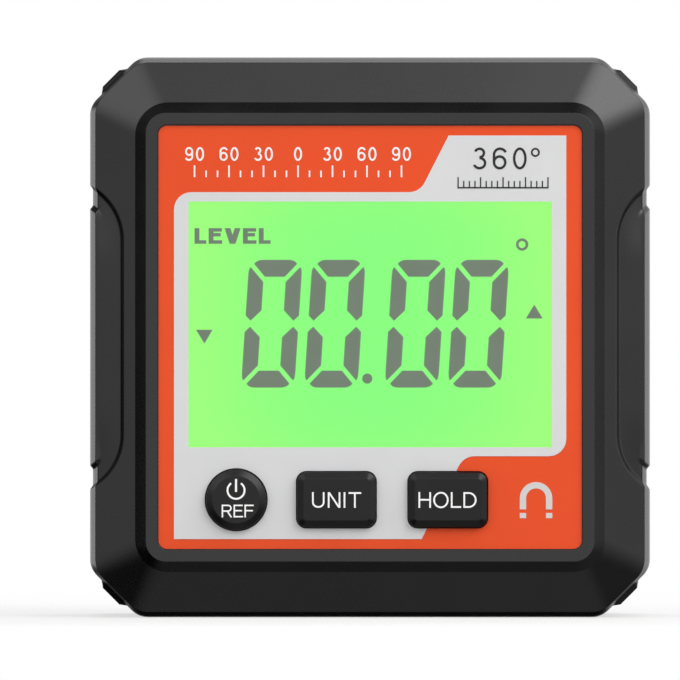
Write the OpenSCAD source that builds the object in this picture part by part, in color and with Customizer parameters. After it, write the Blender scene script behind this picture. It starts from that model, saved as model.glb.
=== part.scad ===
// Digital angle gauge: a square box with a magnetic base that shows its own tilt.
// Millimetres. X runs to the right of the display, Y into the depth and Z up from the base.
// The middle of the base is the origin. A depth is measured from the front frame towards the back.

/* [Case] */
// Width across the two side faces
case_w = 60; // [58:0.5:68]
// Height from the base to the top face
case_h = 60; // [58:0.5:68]
// Depth from the front frame to the back face
case_d = 30; // [29:0.5:36]
// Thickness of the moulded walls
wall = 2; // [1.6:0.1:2.3]
// Leg of the chamfer on each corner
corner_leg = 5.2; // [4:0.1:6]
// Rounding where a corner chamfer meets a face
corner_r = 2.5; // [1.5:0.1:3]
// Depth of the seam between the front housing and the rear cover
seam_d = 21; // [20:0.5:22.5]
// Width of the chamfer round the back face
back_chamfer = 1.5; // [0.5:0.1:2]
// Depth over which the rear cover's lip reaches into the front housing
lip_l = 2; // [1:0.1:2.4]
// Thickness of that lip
lip_t = 1; // [0.8:0.1:1.4]

/* [Bezel] */
// Width of the flat frame round the label
frame_w = 1.25; // [0.8:0.05:1.6]
// Width of the steep step outside the frame
step_w = 1.15; // [0.8:0.05:1.5]
// Depth of the steep step
step_d = 1.5; // [1:0.1:1.8]
// Width of the sloping bevel
bevel_w = 4.3; // [3.6:0.1:4.8]
// Depth of the sloping bevel
bevel_d = 2.5; // [2:0.1:3]
// Width of the rim between bevel and sides
rim_w = 0.6; // [0.3:0.05:0.9]
// Depth of the rim
rim_d = 1.5; // [1:0.1:2]
// Corner radius of the frame's outer edge
frame_r = 2.1; // [1:0.1:3]
// Corner radius at the foot of the step
step_r = 3.5; // [2:0.1:4]

/* [Side grips] */
// Height of a grip pad
grip_h = 29.2; // [24:0.1:32]
// Distance a grip pad reaches in from its side face
grip_reach = 2.3; // [1.6:0.1:2.8]
// Corner radius of a grip pad
grip_r = 4.7; // [3:0.1:6]
// Width of the groove beside a pad
groove_w = 1.1; // [0.6:0.05:1.3]
// Width of the groove above and below a pad
groove_end_w = 2.2; // [1:0.1:3]
// Corner radius of the groove's outer edge
groove_r = 6.4; // [5:0.1:8]
// Depth of the groove
groove_depth = 0.35; // [0.2:0.05:0.5]

/* [Corner bumpers] */
// Height of a bumper above its corner chamfer
bumper_h = 0.5; // [0.3:0.05:0.8]
// Width of a bumper at its foot
bumper_w = 3.8; // [3:0.1:4.5]
// Width of a bumper at its crest
bumper_crest = 2.7; // [2:0.1:3.4]
// Depth at which the bumpers start to rise out of the wall
bumper_start = 4.2; // [4:0.1:5]
// Distance from the end of the bumpers to the back face
bumper_end = 3; // [2.5:0.1:6]
// Length of the slope at each end of a bumper
bumper_slope = 1.9; // [1.5:0.1:3]

/* [Label] */
// Depth of the recess that holds the label
label_recess = 0.5; // [0.4:0.05:0.8]
// Thickness of the label film
label_t = 0.25; // [0.2:0.05:0.35]
// Corner radius of the label
label_r = 1; // [0.5:0.1:2]
// Gap between the label and the edge of its recess
label_gap = 0.1; // [0.05:0.05:0.2]
// Thickness of the grey printed field
field_t = 0.05; // [0.03:0.01:0.1]
// Distance of the grey field from the left and right label edges
field_side = 1.75; // [1:0.05:2.4]
// Distance of the grey field from the top and bottom label edges
field_end = 1.15; // [0.6:0.05:2]
// Height of the orange title band at the top of the label
title_h = 7.2; // [5:0.1:8]
// Height of the orange block at the bottom right of the label
block_h = 10; // [7:0.05:10.2]
// Place of the slanted edge at the foot of the title band, right of the middle
title_x = 5.3; // [2:0.1:9]
// Place of the slanted edge at the foot of the orange block, right of the middle
block_x = 5.5; // [3:0.1:9]
// Angle of the slanted edges
slant = 63; // [50:0.5:75]
// Radius of the field's rounded corners
field_r = 1.85; // [0.8:0.05:2.4]

/* [Display] */
// Distance of the window from the left and right label edges
window_side = 3.3; // [2.6:0.1:4.6]
// Distance of the window from the top label edge
window_top = 8.2; // [7.8:0.05:9]
// Distance of the window from the bottom label edge
window_bottom = 10.95; // [10.8:0.05:12]
// Distance the opening behind the window is wider, all round
aperture_margin = 0.4; // [0.2:0.05:0.5]
// Thickness of the clear window
lens_t = 1.2; // [0.8:0.1:1.4]
// Distance the clear window reaches under the label
lens_margin = 1.2; // [0.8:0.1:1.4]
// Thickness of the liquid crystal panel
lcd_t = 2; // [1.6:0.1:2.4]
// Distance the panel reaches past the window at the sides and below
lcd_margin = 1.2; // [0.8:0.1:1.3]
// Distance the panel reaches past the window at the top, for its contacts
lcd_ledge = 3.5; // [3:0.1:4]
// Height of the display holder between the panel and the board
holder_h = 4.4; // [3.8:0.1:5.4]
// Thickness of the holder's walls
holder_wall = 0.8; // [0.6:0.1:1]
// Width of the elastomer connector strip
strip_w = 2; // [1.5:0.1:2.1]
// Distance the light guide reaches past the window, all round
guide_margin = 0.2; // [0.1:0.05:0.3]
// Thickness of a backlight diode
led_t = 1.2; // [0.8:0.1:1.6]
// Width of a backlight diode
led_w = 3; // [2:0.1:4]
// Height of a backlight diode above the board
led_h = 2; // [1.5:0.1:3]

/* [Digits] */
// Height of a digit
digit_h = 13.65; // [10:0.05:15]
// Width of a digit
digit_w = 5.7; // [4.5:0.1:6]
// Distance from one digit to the next
digit_pitch = 6.75; // [6.3:0.05:7.5]
// Extra distance where the decimal point stands
point_room = 1.85; // [1.5:0.05:3]
// Distance from the foot of the second digit to the middle of the decimal point
point_side = 1.05; // [0.9:0.05:1.2]
// Radius of the decimal point
point_r = 0.54; // [0.3:0.01:0.7]
// Width of an upright segment
stroke = 1.65; // [1:0.05:2]
// Width of a level segment
bar_stroke = 1.8; // [1:0.05:2]
// Gap between two segments
segment_gap = 0.4; // [0.2:0.05:0.6]
// Gap between the upper and the lower half of a digit
waist_gap = 0.65; // [0.4:0.05:1]
// Size of the cut on a digit's outer corners
digit_cut = 0.42; // [0.2:0.02:0.6]
// Lean of the digits
digit_lean = 3.7; // [0:0.1:8]
// Place of the first digit's foot, left of the middle
digit_x = 13.8; // [12:0.05:15]
// Place of the digits' foot below the middle of the window
digit_z = 6.75; // [5.5:0.05:8]
// Thickness of the segments
segment_t = 0.05; // [0.03:0.01:0.08]

/* [Buttons] */
// Distance of the button row's middle from the bottom label edge
button_row = 5.35; // [5.1:0.05:5.5]
// Place of the power button left of the middle
power_x = 14.3; // [13:0.1:15]
// Place of the unit button left of the middle
unit_x = 3.6; // [3:0.1:4]
// Place of the hold button right of the middle
hold_x = 8.3; // [7.8:0.1:10]
// Diameter of the power button
power_d = 6.45; // [6:0.05:7]
// Width of the unit and hold buttons
key_w = 8.35; // [7:0.05:9]
// Height of the unit and hold buttons
key_h = 5.85; // [5:0.05:6.2]
// Corner radius of the unit and hold buttons
key_r = 0.95; // [0.6:0.05:2]
// Width of the rounded edge of a button
button_soft = 0.65; // [0.3:0.05:0.9]
// Height of a button above the frame
button_proud = 0.9; // [0.7:0.1:1.4]
// Gap between a button and its hole
button_gap = 0.15; // [0.1:0.01:0.25]
// Travel of a button
button_travel = 0.5; // [0.3:0.05:0.6]
// Diameter of the stem behind a button
stem_d = 3; // [2:0.1:3.4]
// Width of the flange that keeps a button in
flange_w = 0.5; // [0.35:0.05:0.55]
// Thickness of that flange
flange_t = 0.8; // [0.5:0.1:1]

/* [Board] */
// Thickness of the board
board_t = 1.6; // [1:0.1:2]
// Gap between the board and the side walls
board_gap = 1.5; // [1:0.1:2]
// Gap between the board and the bosses over the magnets
board_end_gap = 0.8; // [0.5:0.1:1]
// Place of the board screws left and right of the middle
board_screw_x = 13; // [12.8:0.1:15]
// Distance of the board screws from the board's edge
board_screw_edge = 2.1; // [2:0.1:2.2]
// Diameter of the board screws' shanks
board_screw_d = 1.9; // [1.6:0.1:2]
// Length of the board screws' shanks
board_screw_l = 5; // [4:0.5:6]
// Side of the tilt sensor
sensor_w = 5; // [4:0.1:6]
// Height of the tilt sensor
sensor_t = 1.3; // [1:0.1:1.6]
// Place of the tilt sensor below the middle of the case
sensor_z = 8; // [7:0.1:10]
// Side of the controller chip
chip_w = 10; // [7:0.1:10.4]
// Height of the controller chip
chip_t = 1.4; // [1:0.1:2]
// Place of the controller chip right of the middle
chip_x = 9; // [8:0.1:12]
// Place of the controller chip above the middle of the case
chip_z = 7; // [6.5:0.1:9]
// Width of the clock can
can_w = 3.2; // [2.5:0.1:4]
// Length of the clock can
can_l = 8; // [6:0.1:9]
// Height of the clock can
can_t = 2; // [1.5:0.1:3]
// Place of the clock can left of the middle
can_x = 5; // [3:0.1:7]
// Place of the clock can above the middle of the case
can_z = 9; // [7:0.1:10]
// Width of the regulator
regulator_w = 3; // [2:0.1:4]
// Length of the regulator
regulator_l = 4.5; // [3:0.1:5]
// Height of the regulator
regulator_t = 1.4; // [1:0.1:2]
// Place of the regulator left of the middle
regulator_x = 14; // [11:0.1:15]
// Place of the regulator above the middle of the case
regulator_z = 3; // [0:0.1:6]
// Width of a capacitor
capacitor_w = 1.2; // [0.8:0.1:1.6]
// Length of a capacitor
capacitor_l = 2; // [1.6:0.1:3]
// Height of a capacitor
capacitor_t = 1; // [0.6:0.1:1.4]
// Distance from one capacitor to the next
capacitor_pitch = 3; // [2:0.1:3.4]
// Place of the first capacitor right of the middle
capacitor_x = 6; // [4:0.1:7]
// Place of the capacitors below the middle of the case
capacitor_z = 4; // [2:0.1:5]
// Side of a switch body
switch_w = 6; // [5:0.1:6]
// Height of a switch body
switch_h = 3.5; // [3:0.1:3.9]
// Diameter of a switch plunger
plunger_d = 3.5; // [2.5:0.1:3.6]
// Height of a plunger above its switch body
plunger_proud = 0.8; // [0.7:0.05:1]

/* [Batteries] */
// Diameter of a cell
cell_d = 10.5; // [10:0.1:10.5]
// Distance of the battery bay from the side faces
bay_side = 5.3; // [4.6:0.1:6]
// Diameter of a cell's button end
nub_d = 3.8; // [3:0.1:4.5]
// Length of a cell's button end
nub_l = 1; // [0.8:0.1:1.5]
// Room for a cell in the bay, all round
cell_gap = 0.2; // [0.15:0.05:0.3]
// Length of a contact spring as fitted
spring_l = 4; // [3:0.1:4.2]
// Thickness of a spring's wire
wire_d = 0.6; // [0.4:0.05:0.7]
// Thickness of a contact plate
contact_t = 0.4; // [0.3:0.05:0.5]
// Thickness of the bay's walls
bay_wall = 1.5; // [1.3:0.1:1.6]
// Distance the door rests on the bay's walls
door_seat = 1; // [0.8:0.1:1.2]
// Gap round the door
door_gap = 0.25; // [0.2:0.05:0.35]

/* [Magnets] */
// Diameter of a magnet
magnet_d = 8; // [6:0.1:8]
// Thickness of a magnet
magnet_t = 2.5; // [2:0.1:3]
// Distance of the outer magnets' middles from the side faces
magnet_side = 10.5; // [10.3:0.1:11.5]
// Depth of the magnets' row behind the front frame
magnet_row = 14; // [13.5:0.1:14]
// Thickness of the plastic over a magnet
magnet_roof = 1; // [0.8:0.1:1.2]
// Distance of a magnet's face inside the base
magnet_sunk = 0.1; // [0.05:0.05:0.3]

/* [Case screws] */
// Distance of a screw from the outer faces
screw_in = 7.5; // [7:0.1:8]
// Diameter of a screw's shank
screw_d = 2.4; // [2:0.1:2.6]
// Length of a screw's shank
screw_l = 10; // [8:0.5:11]
// Diameter of a screw's head
screw_head_d = 4.6; // [4:0.1:4.8]
// Height of a screw's head
screw_head_h = 1.6; // [1.2:0.1:2]
// Depth of the hole that holds the head
screw_sink = 6; // [4:0.5:6.5]

/* [Hidden] */
$fn = 64;
// Steps in each eighth of a corner outline
arc_steps = 6;
// Overlap that keeps joined shapes in one piece
bite = 0.5;
// Gap between pieces that are glued or pressed together
fit_gap = 0.05;
// Gap between pieces that are laid side by side
seat_gap = 0.15;
// Gap of a piece that slides in a bore, all round
slide_gap = 0.05;
// Share of a corner radius that makes an outline's chamfer vanish
round_leg = 0.6;
// Number of magnets in the base
magnet_count = 4;
// Thickness of the plastic round a case screw's shank and round its head
post_wall = 1.8;
head_wall = 1.3;
// Room round a screw that passes through a hole
pass_gap = 0.2;
// Thickness of the plastic round a board screw
board_post_wall = 1;
// Room between the board's notches and the case screw posts
notch_gap = 0.4;

label_w = case_w - 2 * (rim_w + bevel_w + step_w + frame_w);
label_h = case_h - 2 * (rim_w + bevel_w + step_w + frame_w);
rim_back = step_d + bevel_d + rim_d;
front_in = label_recess + wall;
// Slope of the bevel and the depth that a wall takes up behind it
bevel_rise = bevel_d / bevel_w;
bevel_wall = wall * sqrt(1 + bevel_rise * bevel_rise);
shoulder_d = step_d + bevel_wall + (rim_w + bevel_w - wall) * bevel_rise;
// Depth that keeps the groove as deep in the bevel as in the sides
groove_shift = groove_depth * (bevel_wall / wall - bevel_rise);
front_in_inset = rim_w + bevel_w - (front_in - step_d - bevel_wall) / bevel_rise;

window_w = label_w - 2 * window_side;
window_h = label_h - window_top - window_bottom;
window_z = (window_bottom - window_top) / 2;
window_foot = window_z - window_h / 2;
window_head = window_z + window_h / 2;
button_z = label_h / 2 - button_row;
lens_w = window_w + 2 * lens_margin;
lens_h = window_h + 2 * lens_margin;
lcd_front = front_in + seat_gap;
lcd_back = lcd_front + lcd_t;
lcd_w = window_w + 2 * lcd_margin;
lcd_foot = window_foot - lcd_margin;
lcd_head = window_head + lcd_ledge;
guide_w = window_w + 2 * guide_margin;
guide_foot = window_foot - guide_margin;
guide_head = window_head + guide_margin;
led_x = guide_w / 2 + seat_gap;
holder_in_w = 2 * (led_x + led_t + seat_gap);
holder_w = holder_in_w + 2 * holder_wall;
holder_foot = guide_foot - seat_gap - holder_wall;
strip_foot = guide_head + seat_gap + holder_wall + seat_gap;
holder_head = strip_foot + strip_w + seat_gap + holder_wall;

board_front = lcd_back + holder_h;
board_back = board_front + board_t;
magnet_top = magnet_sunk + magnet_t + fit_gap + magnet_roof;
board_w = case_w - 2 * (wall + board_gap);
board_h = case_h - 2 * (magnet_top + board_end_gap);
board_screw_z = board_h / 2 - board_screw_edge;
switch_top = board_front - switch_h;
plunger_top = switch_top - plunger_proud;
flange_front = front_in + fit_gap;
flange_back = flange_front + flange_t;

bay_front = case_d - wall - 2 * cell_gap - cell_d;
bay_l = case_w - 2 * bay_side;
cell_l = bay_l - spring_l - 2 * contact_t - 2 * fit_gap;
bay_h = 2 * cell_d + 4 * cell_gap;
cell_z = cell_d / 2 + cell_gap;
cell_depth = case_d - wall - cell_gap - cell_d / 2;
// Height of a contact plate and the width and overhang of its tab
plate_h = 0.8 * cell_d;
tab_w = 0.2 * cell_d;
tab_end = bay_front - bay_wall - tab_w / 2;
lead_d = 1.2;
// Length of a plunger inside its switch body
plunger_in = 0.6;
door_w = bay_l + 2 * door_seat;
door_h = bay_h + 2 * door_seat;
door_foot = -door_h / 2;
// Place and size of the tongues that hold the door's lower edge
tongue_x = door_w / 4;
tongue_w = 6;
tongue_t = 1.2;
tongue_l = 1.4;
tongue_room = 0.3;

post_r = screw_d / 2 + post_wall;
post_end = seam_d - lip_l / 2;
screw_seat = case_d - screw_sink;
screw_x = case_w / 2 - screw_in;
screw_z = case_h / 2 - screw_in;

// A list joined end to end
function flat(lists) = [for (list = lists) for (item = list) item];

// Points of an eight-sided outline with rounded corners: each corner is two arcs of an eighth
// turn, one for each end of its chamfer, and the arcs meet when the leg is small.
function outline(w, h, leg, r) =
    let (pull = leg + r * (sqrt(2) - 1))
    let (side = [w / 2 - r, h / 2 - pull], top = [w / 2 - pull, h / 2 - r])
    let (right = [side, top], left = [[-top.x, top.y], [-side.x, side.y]])
    let (ends = concat(right, left, -right, -left))
    flat([for (k = [0:7]) [for (i = [0:arc_steps])
        let (turn = 45 * (k + i / arc_steps)) ends[k] + r * [cos(turn), sin(turn)]]]);

// A rectangle with rounded corners
function soft_rect(w, h, r) = outline(w, h, round_leg * r, r);

// One ring of the case: its depth, how far it is inside the case and the form of its corners
function case_ring(depth, inset, leg, r) = [depth, case_w - 2 * inset, case_h - 2 * inset, leg, r];

// The same ring with its corners moved in by the same distance as its sides
function parallel_ring(depth, inset) =
    case_ring(depth, inset, corner_leg - inset * (2 - sqrt(2)), max(corner_r - inset, 0.3));

// Points of the case outline moved in by a distance
function parallel_outline(inset) =
    let (ring = parallel_ring(0, inset)) outline(ring[1], ring[2], ring[3], ring[4]);

// Points of one polygon corner rounded to a radius
function round_corner(before, at, after, r) =
    let (u = (before - at) / norm(before - at), v = (after - at) / norm(after - at))
    let (half = acos(u * v) / 2, bend = cross(u, v) > 0 ? 1 : -1)
    let (middle = at + r / sin(half) * (u + v) / norm(u + v))
    let (start = at + r / tan(half) * u - middle, sweep = bend * (2 * half - 180))
    [for (i = [0:arc_steps]) let (turn = sweep * i / arc_steps)
        middle + [start.x * cos(turn) - start.y * sin(turn), start.x * sin(turn) + start.y * cos(turn)]];

// A flat shape, drawn as seen from the front about the middle of the case, made solid between depths
module slab(from, to) {
    translate([0, to - case_d / 2, case_h / 2])
        rotate([90, 0, 0])
            linear_extrude(to - from)
                children();
}

// A solid that runs through rings of the same number of points, from the front to the back
module loft(rings) {
    count = 8 * (arc_steps + 1);
    points = flat([for (ring = rings)
        let (depth = ring[0], flat_points = outline(ring[1], ring[2], ring[3], ring[4]))
        [for (p = flat_points) [p.x, depth - case_d / 2, p.y + case_h / 2]]]);
    sides = [for (j = [0:len(rings) - 2]) for (i = [0:count - 1])
        [j * count + i, j * count + (i + 1) % count, (j + 1) * count + (i + 1) % count, (j + 1) * count + i]];
    front = [for (i = [0:count - 1]) count - 1 - i];
    back = [for (i = [0:count - 1]) (len(rings) - 1) * count + i];
    polyhedron(points, concat([front], sides, [back]));
}

// A round bar along the depth
module bar(x, z, d, from, to) {
    translate([x, from - case_d / 2, z + case_h / 2])
        rotate([-90, 0, 0])
            cylinder(h = to - from, d = d);
}

// A box between two depths
module block(x, z, w, h, from, to) {
    translate([x - w / 2, from - case_d / 2, z - h / 2 + case_h / 2])
        cube([w, to - from, h]);
}

// A round bar along the width
module rod(x, z, depth, d, l) {
    translate([x, depth - case_d / 2, z + case_h / 2])
        rotate([0, 90, 0])
            cylinder(h = l, d = d);
}

// Copies to the four screws of the case
module at_screws() {
    for (sx = [-1, 1])
        for (sz = [-1, 1])
            translate([sx * screw_x, 0, sz * screw_z])
                children();
}

// Copies to the four screws of the board
module at_board_screws() {
    for (sx = [-1, 1])
        for (sz = [-1, 1])
            translate([sx * board_screw_x, 0, sz * board_screw_z])
                children();
}

// Copies to the row of magnets
module at_magnets() {
    pitch = (case_w - 2 * magnet_side) / (magnet_count - 1);
    for (i = [0:magnet_count - 1])
        translate([i * pitch + magnet_side - case_w / 2, magnet_row - case_d / 2, 0])
            children();
}

// The front of the case moved in by a distance, from the frame to the seam
module front_body(in, shift, end) {
    loft([
        case_ring(shift, in + rim_w + bevel_w + step_w, round_leg * frame_r, frame_r),
        case_ring(step_d + shift, in + rim_w + bevel_w, round_leg * step_r, step_r),
        parallel_ring(step_d + bevel_d + shift, in + rim_w),
        parallel_ring(rim_back + shift, in),
        parallel_ring(end, in)
    ]);
}

// The back of the case moved in by a distance, from the seam to the back face
module rear_body(in, start) {
    loft([
        parallel_ring(start, in),
        parallel_ring(case_d - back_chamfer, in),
        parallel_ring(case_d, in + back_chamfer)
    ]);
}

// A grip outline: a tall shape with rounded inner corners that reaches in from each side face
module grip_shape(reach, h, r) {
    for (side = [0, 1])
        mirror([side, 0, 0])
            translate([case_w / 2 - reach, 0]) {
                translate([0, r - h / 2])
                    square([reach + bite, h - 2 * r]);
                translate([r, -h / 2])
                    square([reach, h]);
                for (end = [-1, 1])
                    translate([r, end * (h / 2 - r)])
                        circle(r);
            }
}

// The bands that frame the two grip pads, between two depths
module grip_bands(from, to) {
    slab(from, to)
        difference() {
            grip_shape(grip_reach + groove_w, grip_h + 2 * groove_end_w, groove_r);
            grip_shape(grip_reach, grip_h, grip_r);
        }
}

// The four bumpers between two depths: low pads with sloped ends along the corner chamfers
module bumpers(from, to) {
    sunk = 1;
    start = bumper_start - case_d / 2;
    end = case_d / 2 - bumper_end;
    intersection() {
        block(0, 0, case_w, case_h, from, to);
        for (sx = [-1, 1])
            for (sz = [-1, 1])
                translate([sx * (case_w - corner_leg) / 2, 0, case_h / 2 + sz * (case_h - corner_leg) / 2])
                    rotate([0, atan2(-sz, sx), 0])
                        intersection() {
                            linear_extrude(2 * bumper_w, center = true)
                                polygon([
                                    [-sunk, start], [bumper_h, start + bumper_slope],
                                    [bumper_h, end - bumper_slope], [-sunk, end]
                                ]);
                            translate([0, case_d / 2, 0])
                                rotate([90, 0, 0])
                                    linear_extrude(case_d)
                                        polygon([
                                            [-sunk, -bumper_w / 2], [0, -bumper_w / 2],
                                            [bumper_h, -bumper_crest / 2], [bumper_h, bumper_crest / 2],
                                            [0, bumper_w / 2], [-sunk, bumper_w / 2]
                                        ]);
                        }
    }
}

// The three button outlines, widened by a gap
module button_shapes(gap) {
    translate([-power_x, -button_z])
        circle(d = power_d + 2 * gap);
    for (x = [-unit_x, hold_x])
        translate([x, -button_z])
            polygon(soft_rect(key_w + 2 * gap, key_h + 2 * gap, key_r + gap));
}

// The window in the label
module window_shape(w, h) {
    translate([-w / 2, window_z - h / 2])
        square([w, h]);
}

module front_housing() {
    color([0.2, 0.2, 0.2])
        difference() {
            union() {
                difference() {
                    union() {
                        front_body(0, 0, seam_d);
                        bumpers(0, seam_d);
                    }
                    difference() {
                        grip_bands(-bite, seam_d + bite);
                        front_body(groove_depth, groove_shift, seam_d + 2 * bite);
                    }
                    loft([
                        case_ring(front_in, front_in_inset, round_leg * frame_r, frame_r),
                        parallel_ring(shoulder_d, wall),
                        parallel_ring(seam_d + bite, wall)
                    ]);
                }
                at_screws()
                    bar(0, 0, 2 * post_r, front_in - bite, post_end);
                at_board_screws()
                    bar(0, 0, board_screw_d + 2 * board_post_wall, front_in, board_front);
                at_magnets()
                    cylinder(h = magnet_top, d = magnet_d + 2 * magnet_roof);
            }
            slab(-bite, label_recess)
                polygon(soft_rect(label_w, label_h, label_r));
            slab(-bite, label_recess + lens_t)
                window_shape(lens_w + 2 * label_gap, lens_h + 2 * label_gap);
            slab(-bite, front_in + bite)
                window_shape(window_w + 2 * aperture_margin, window_h + 2 * aperture_margin);
            slab(-bite, front_in + bite)
                button_shapes(button_gap);
            at_screws()
                bar(0, 0, screw_d + 2 * slide_gap, screw_seat - screw_l - bite, post_end + bite);
            at_board_screws()
                bar(0, 0, board_screw_d + 2 * slide_gap, front_in + bite, board_front + bite);
            at_magnets()
                translate([0, 0, -bite])
                    cylinder(h = magnet_sunk + magnet_t + fit_gap + bite, d = magnet_d + 2 * slide_gap);
        }
}

// The rear cover's lip: a ring inside the front housing that widens onto the cover's own wall
module cover_lip() {
    lip_in = wall + slide_gap;
    slab(seam_d - lip_l, seam_d + bite)
        difference() {
            polygon(parallel_outline(lip_in));
            polygon(parallel_outline(lip_in + lip_t));
        }
    slab(seam_d, seam_d + lip_l)
        difference() {
            polygon(parallel_outline(wall - bite));
            polygon(parallel_outline(lip_in + lip_t));
        }
}

module rear_cover() {
    bay_end = case_d - wall;
    scoop_d = 8;
    scoop_w = 11;
    scoop_deep = 1.2;
    color([0.2, 0.2, 0.2])
        difference() {
            union() {
                difference() {
                    union() {
                        rear_body(0, seam_d);
                        bumpers(seam_d, case_d);
                    }
                    difference() {
                        grip_bands(seam_d - bite, case_d + bite);
                        rear_body(groove_depth, seam_d - 2 * bite);
                    }
                    loft([parallel_ring(seam_d - bite, wall), parallel_ring(bay_end, wall)]);
                }
                cover_lip();
                at_screws()
                    bar(0, 0, screw_head_d + 2 * head_wall, post_end, bay_end + bite);
                block(0, 0, bay_l + 2 * bay_wall, bay_h + 2 * bay_wall, bay_front - bay_wall, bay_end + bite);
            }
            block(0, 0, bay_l, bay_h, bay_front, bay_end + bite);
            block(0, 0, door_w + 2 * door_gap, door_h + 2 * door_gap, bay_end, case_d + bite);
            rod(-scoop_w / 2, door_h / 2 + scoop_deep, case_d + scoop_d / 2 - scoop_deep, scoop_d, scoop_w);
            at_screws() {
                bar(0, 0, screw_d + 2 * pass_gap, post_end - bite, screw_seat + bite);
                bar(0, 0, screw_head_d + 2 * pass_gap, screw_seat, case_d + bite);
            }
            for (side = [-1, 1])
                block(side * tongue_x, door_foot, tongue_w + 2 * tongue_room, 2 * (bay_wall + bite),
                    bay_end - tongue_t - 2 * tongue_l, bay_end);
            for (side = [-1, 1])
                block(contact_t / 2 - bay_l / 2, side * cell_z, contact_t + 2 * fit_gap, tab_w + 2 * seat_gap,
                    bay_front - bay_wall - bite, bay_front + bite);
        }
}

module battery_door() {
    inner = case_d - wall;
    slack = 0.2;
    // The tongues hang from a root on the door's inner face and reach below its edge
    root_foot = door_foot + wall / 2;
    tongue_foot = door_foot - tongue_l;
    tongue_head = root_foot + 1.2;
    groove_pitch = 1.6;
    groove_len = 14;
    groove_cut = 0.4;
    color([0.2, 0.2, 0.2])
        difference() {
            union() {
                block(0, wall / 4, door_w, door_h - wall / 2, inner, case_d);
                rod(-door_w / 2, door_foot + wall / 2, case_d - wall / 2, wall, door_w);
                for (side = [-1, 1]) {
                    block(side * tongue_x, (root_foot + tongue_head) / 2, tongue_w, tongue_head - root_foot,
                        inner - tongue_t - slack, inner + bite);
                    block(side * tongue_x, (tongue_foot + tongue_head) / 2,
                        tongue_w, tongue_head - tongue_foot,
                        inner - tongue_t - slack, inner - slack);
                }
            }
            for (i = [1:4])
                block(0, door_h / 2 - groove_pitch * (i + 0.75), groove_len, groove_pitch / 2,
                    case_d - groove_cut, case_d + bite);
        }
}

module front_label() {
    color([0.92, 0.33, 0.19])
        slab(label_recess - label_t, label_recess)
            difference() {
                polygon(soft_rect(label_w - 2 * label_gap, label_h - 2 * label_gap, label_r - label_gap));
                window_shape(window_w, window_h);
                button_shapes(button_gap);
            }
}

// The grey field steps up into a tab at the top right and leaves an orange block at the bottom right
module label_field() {
    left = field_side - label_w / 2;
    right = -left;
    foot = field_end - label_h / 2;
    tab_top = -foot;
    title_foot = label_h / 2 - title_h;
    block_top = block_h - label_h / 2;
    title_lean = (tab_top - title_foot) / tan(slant);
    block_lean = (block_top - foot) / tan(slant);
    corners = [
        [left, foot], [block_x, foot], [block_x + block_lean, block_top], [right, block_top],
        [right, tab_top], [title_x + title_lean, tab_top], [title_x, title_foot], [left, title_foot]
    ];
    color([0.85, 0.85, 0.85])
        slab(label_recess - label_t - field_t, label_recess - label_t)
            difference() {
                polygon(flat([for (i = [0:7])
                    i == 2 || i == 3 || i > 5
                        ? round_corner(corners[i - 1], corners[i], corners[(i + 1) % 8], field_r)
                        : [corners[i]]]));
                window_shape(window_w, window_h);
                button_shapes(button_gap);
            }
}

module display_window() {
    color([0.8, 0.9, 0.9, 0.4])
        slab(label_recess, label_recess + lens_t)
            window_shape(lens_w, lens_h);
}

module lcd_panel() {
    color([0.55, 1, 0.5])
        block(0, (lcd_foot + lcd_head) / 2, lcd_w, lcd_head - lcd_foot, lcd_front, lcd_back);
}

// Points of the top segment and of the upper left segment of an upright digit
function top_segment() =
    let (
        tip = [digit_cut + segment_gap / 3, digit_h - digit_cut],
        root = [stroke + segment_gap / 3, digit_h - bar_stroke],
        soft = [for (turn = [30:15:90])
            tip + digit_cut * [2 - 2 * cos(turn) / cos(30), 2 * sin(turn) - 1]]
    )
    concat([root], soft, [for (i = [4:-1:0]) [digit_w - soft[i].x, soft[i].y]], [[digit_w - root.x, root.y]]);
function left_segment() =
    let (
        mitre = segment_gap * sqrt(2),
        middle = (digit_h + waist_gap) / 2,
        head = digit_h - digit_cut / 2 - mitre,
        soft = [for (turn = [0:30:90])
            [digit_cut / 2 * (1 - sin(turn)), head - 2 * digit_cut * (1 - cos(turn))]]
    )
    concat(soft, [
        [0, middle + stroke / 3], [stroke / 3, middle], [stroke, middle + 2 * stroke / 3],
        [stroke, digit_h - bar_stroke - mitre]
    ]);

// A segment of a leaning digit, turned over to the right or to the foot where asked
module segment(points, right, foot) {
    polygon([for (p = points)
        let (u = right ? digit_w - p.x : p.x, v = foot ? digit_h - p.y : p.y)
        [u + v * tan(digit_lean), v]]);
}

module lcd_segments() {
    point_x = digit_pitch + digit_w + point_side;
    color([0.45, 0.5, 0.45])
        slab(lcd_front - segment_t, lcd_front) {
            for (i = [0:3])
                translate([i * digit_pitch + (i > 1 ? point_room : 0) - digit_x, window_z - digit_z])
                    for (foot = [false, true]) {
                        segment(top_segment(), false, foot);
                        for (right = [false, true])
                            segment(left_segment(), right, foot);
                    }
            translate([point_x - digit_x, point_r + digit_cut + window_z - digit_z])
                circle(point_r);
        }
}

// The holder is a frame on the board with one room for the light guide and one for the connector strip
module lcd_holder() {
    guide_room = guide_head - guide_foot + 2 * seat_gap;
    strip_room = strip_w + 2 * seat_gap;
    color([0.9, 0.9, 0.88])
        difference() {
            block(0, (holder_foot + holder_head) / 2, holder_w, holder_head - holder_foot,
                lcd_back, board_front);
            block(0, (guide_foot + guide_head) / 2, holder_in_w, guide_room,
                lcd_back - bite, board_front + bite);
            block(0, strip_foot + strip_w / 2, lcd_w - 2 * holder_wall, strip_room,
                lcd_back - bite, board_front + bite);
        }
}

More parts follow.
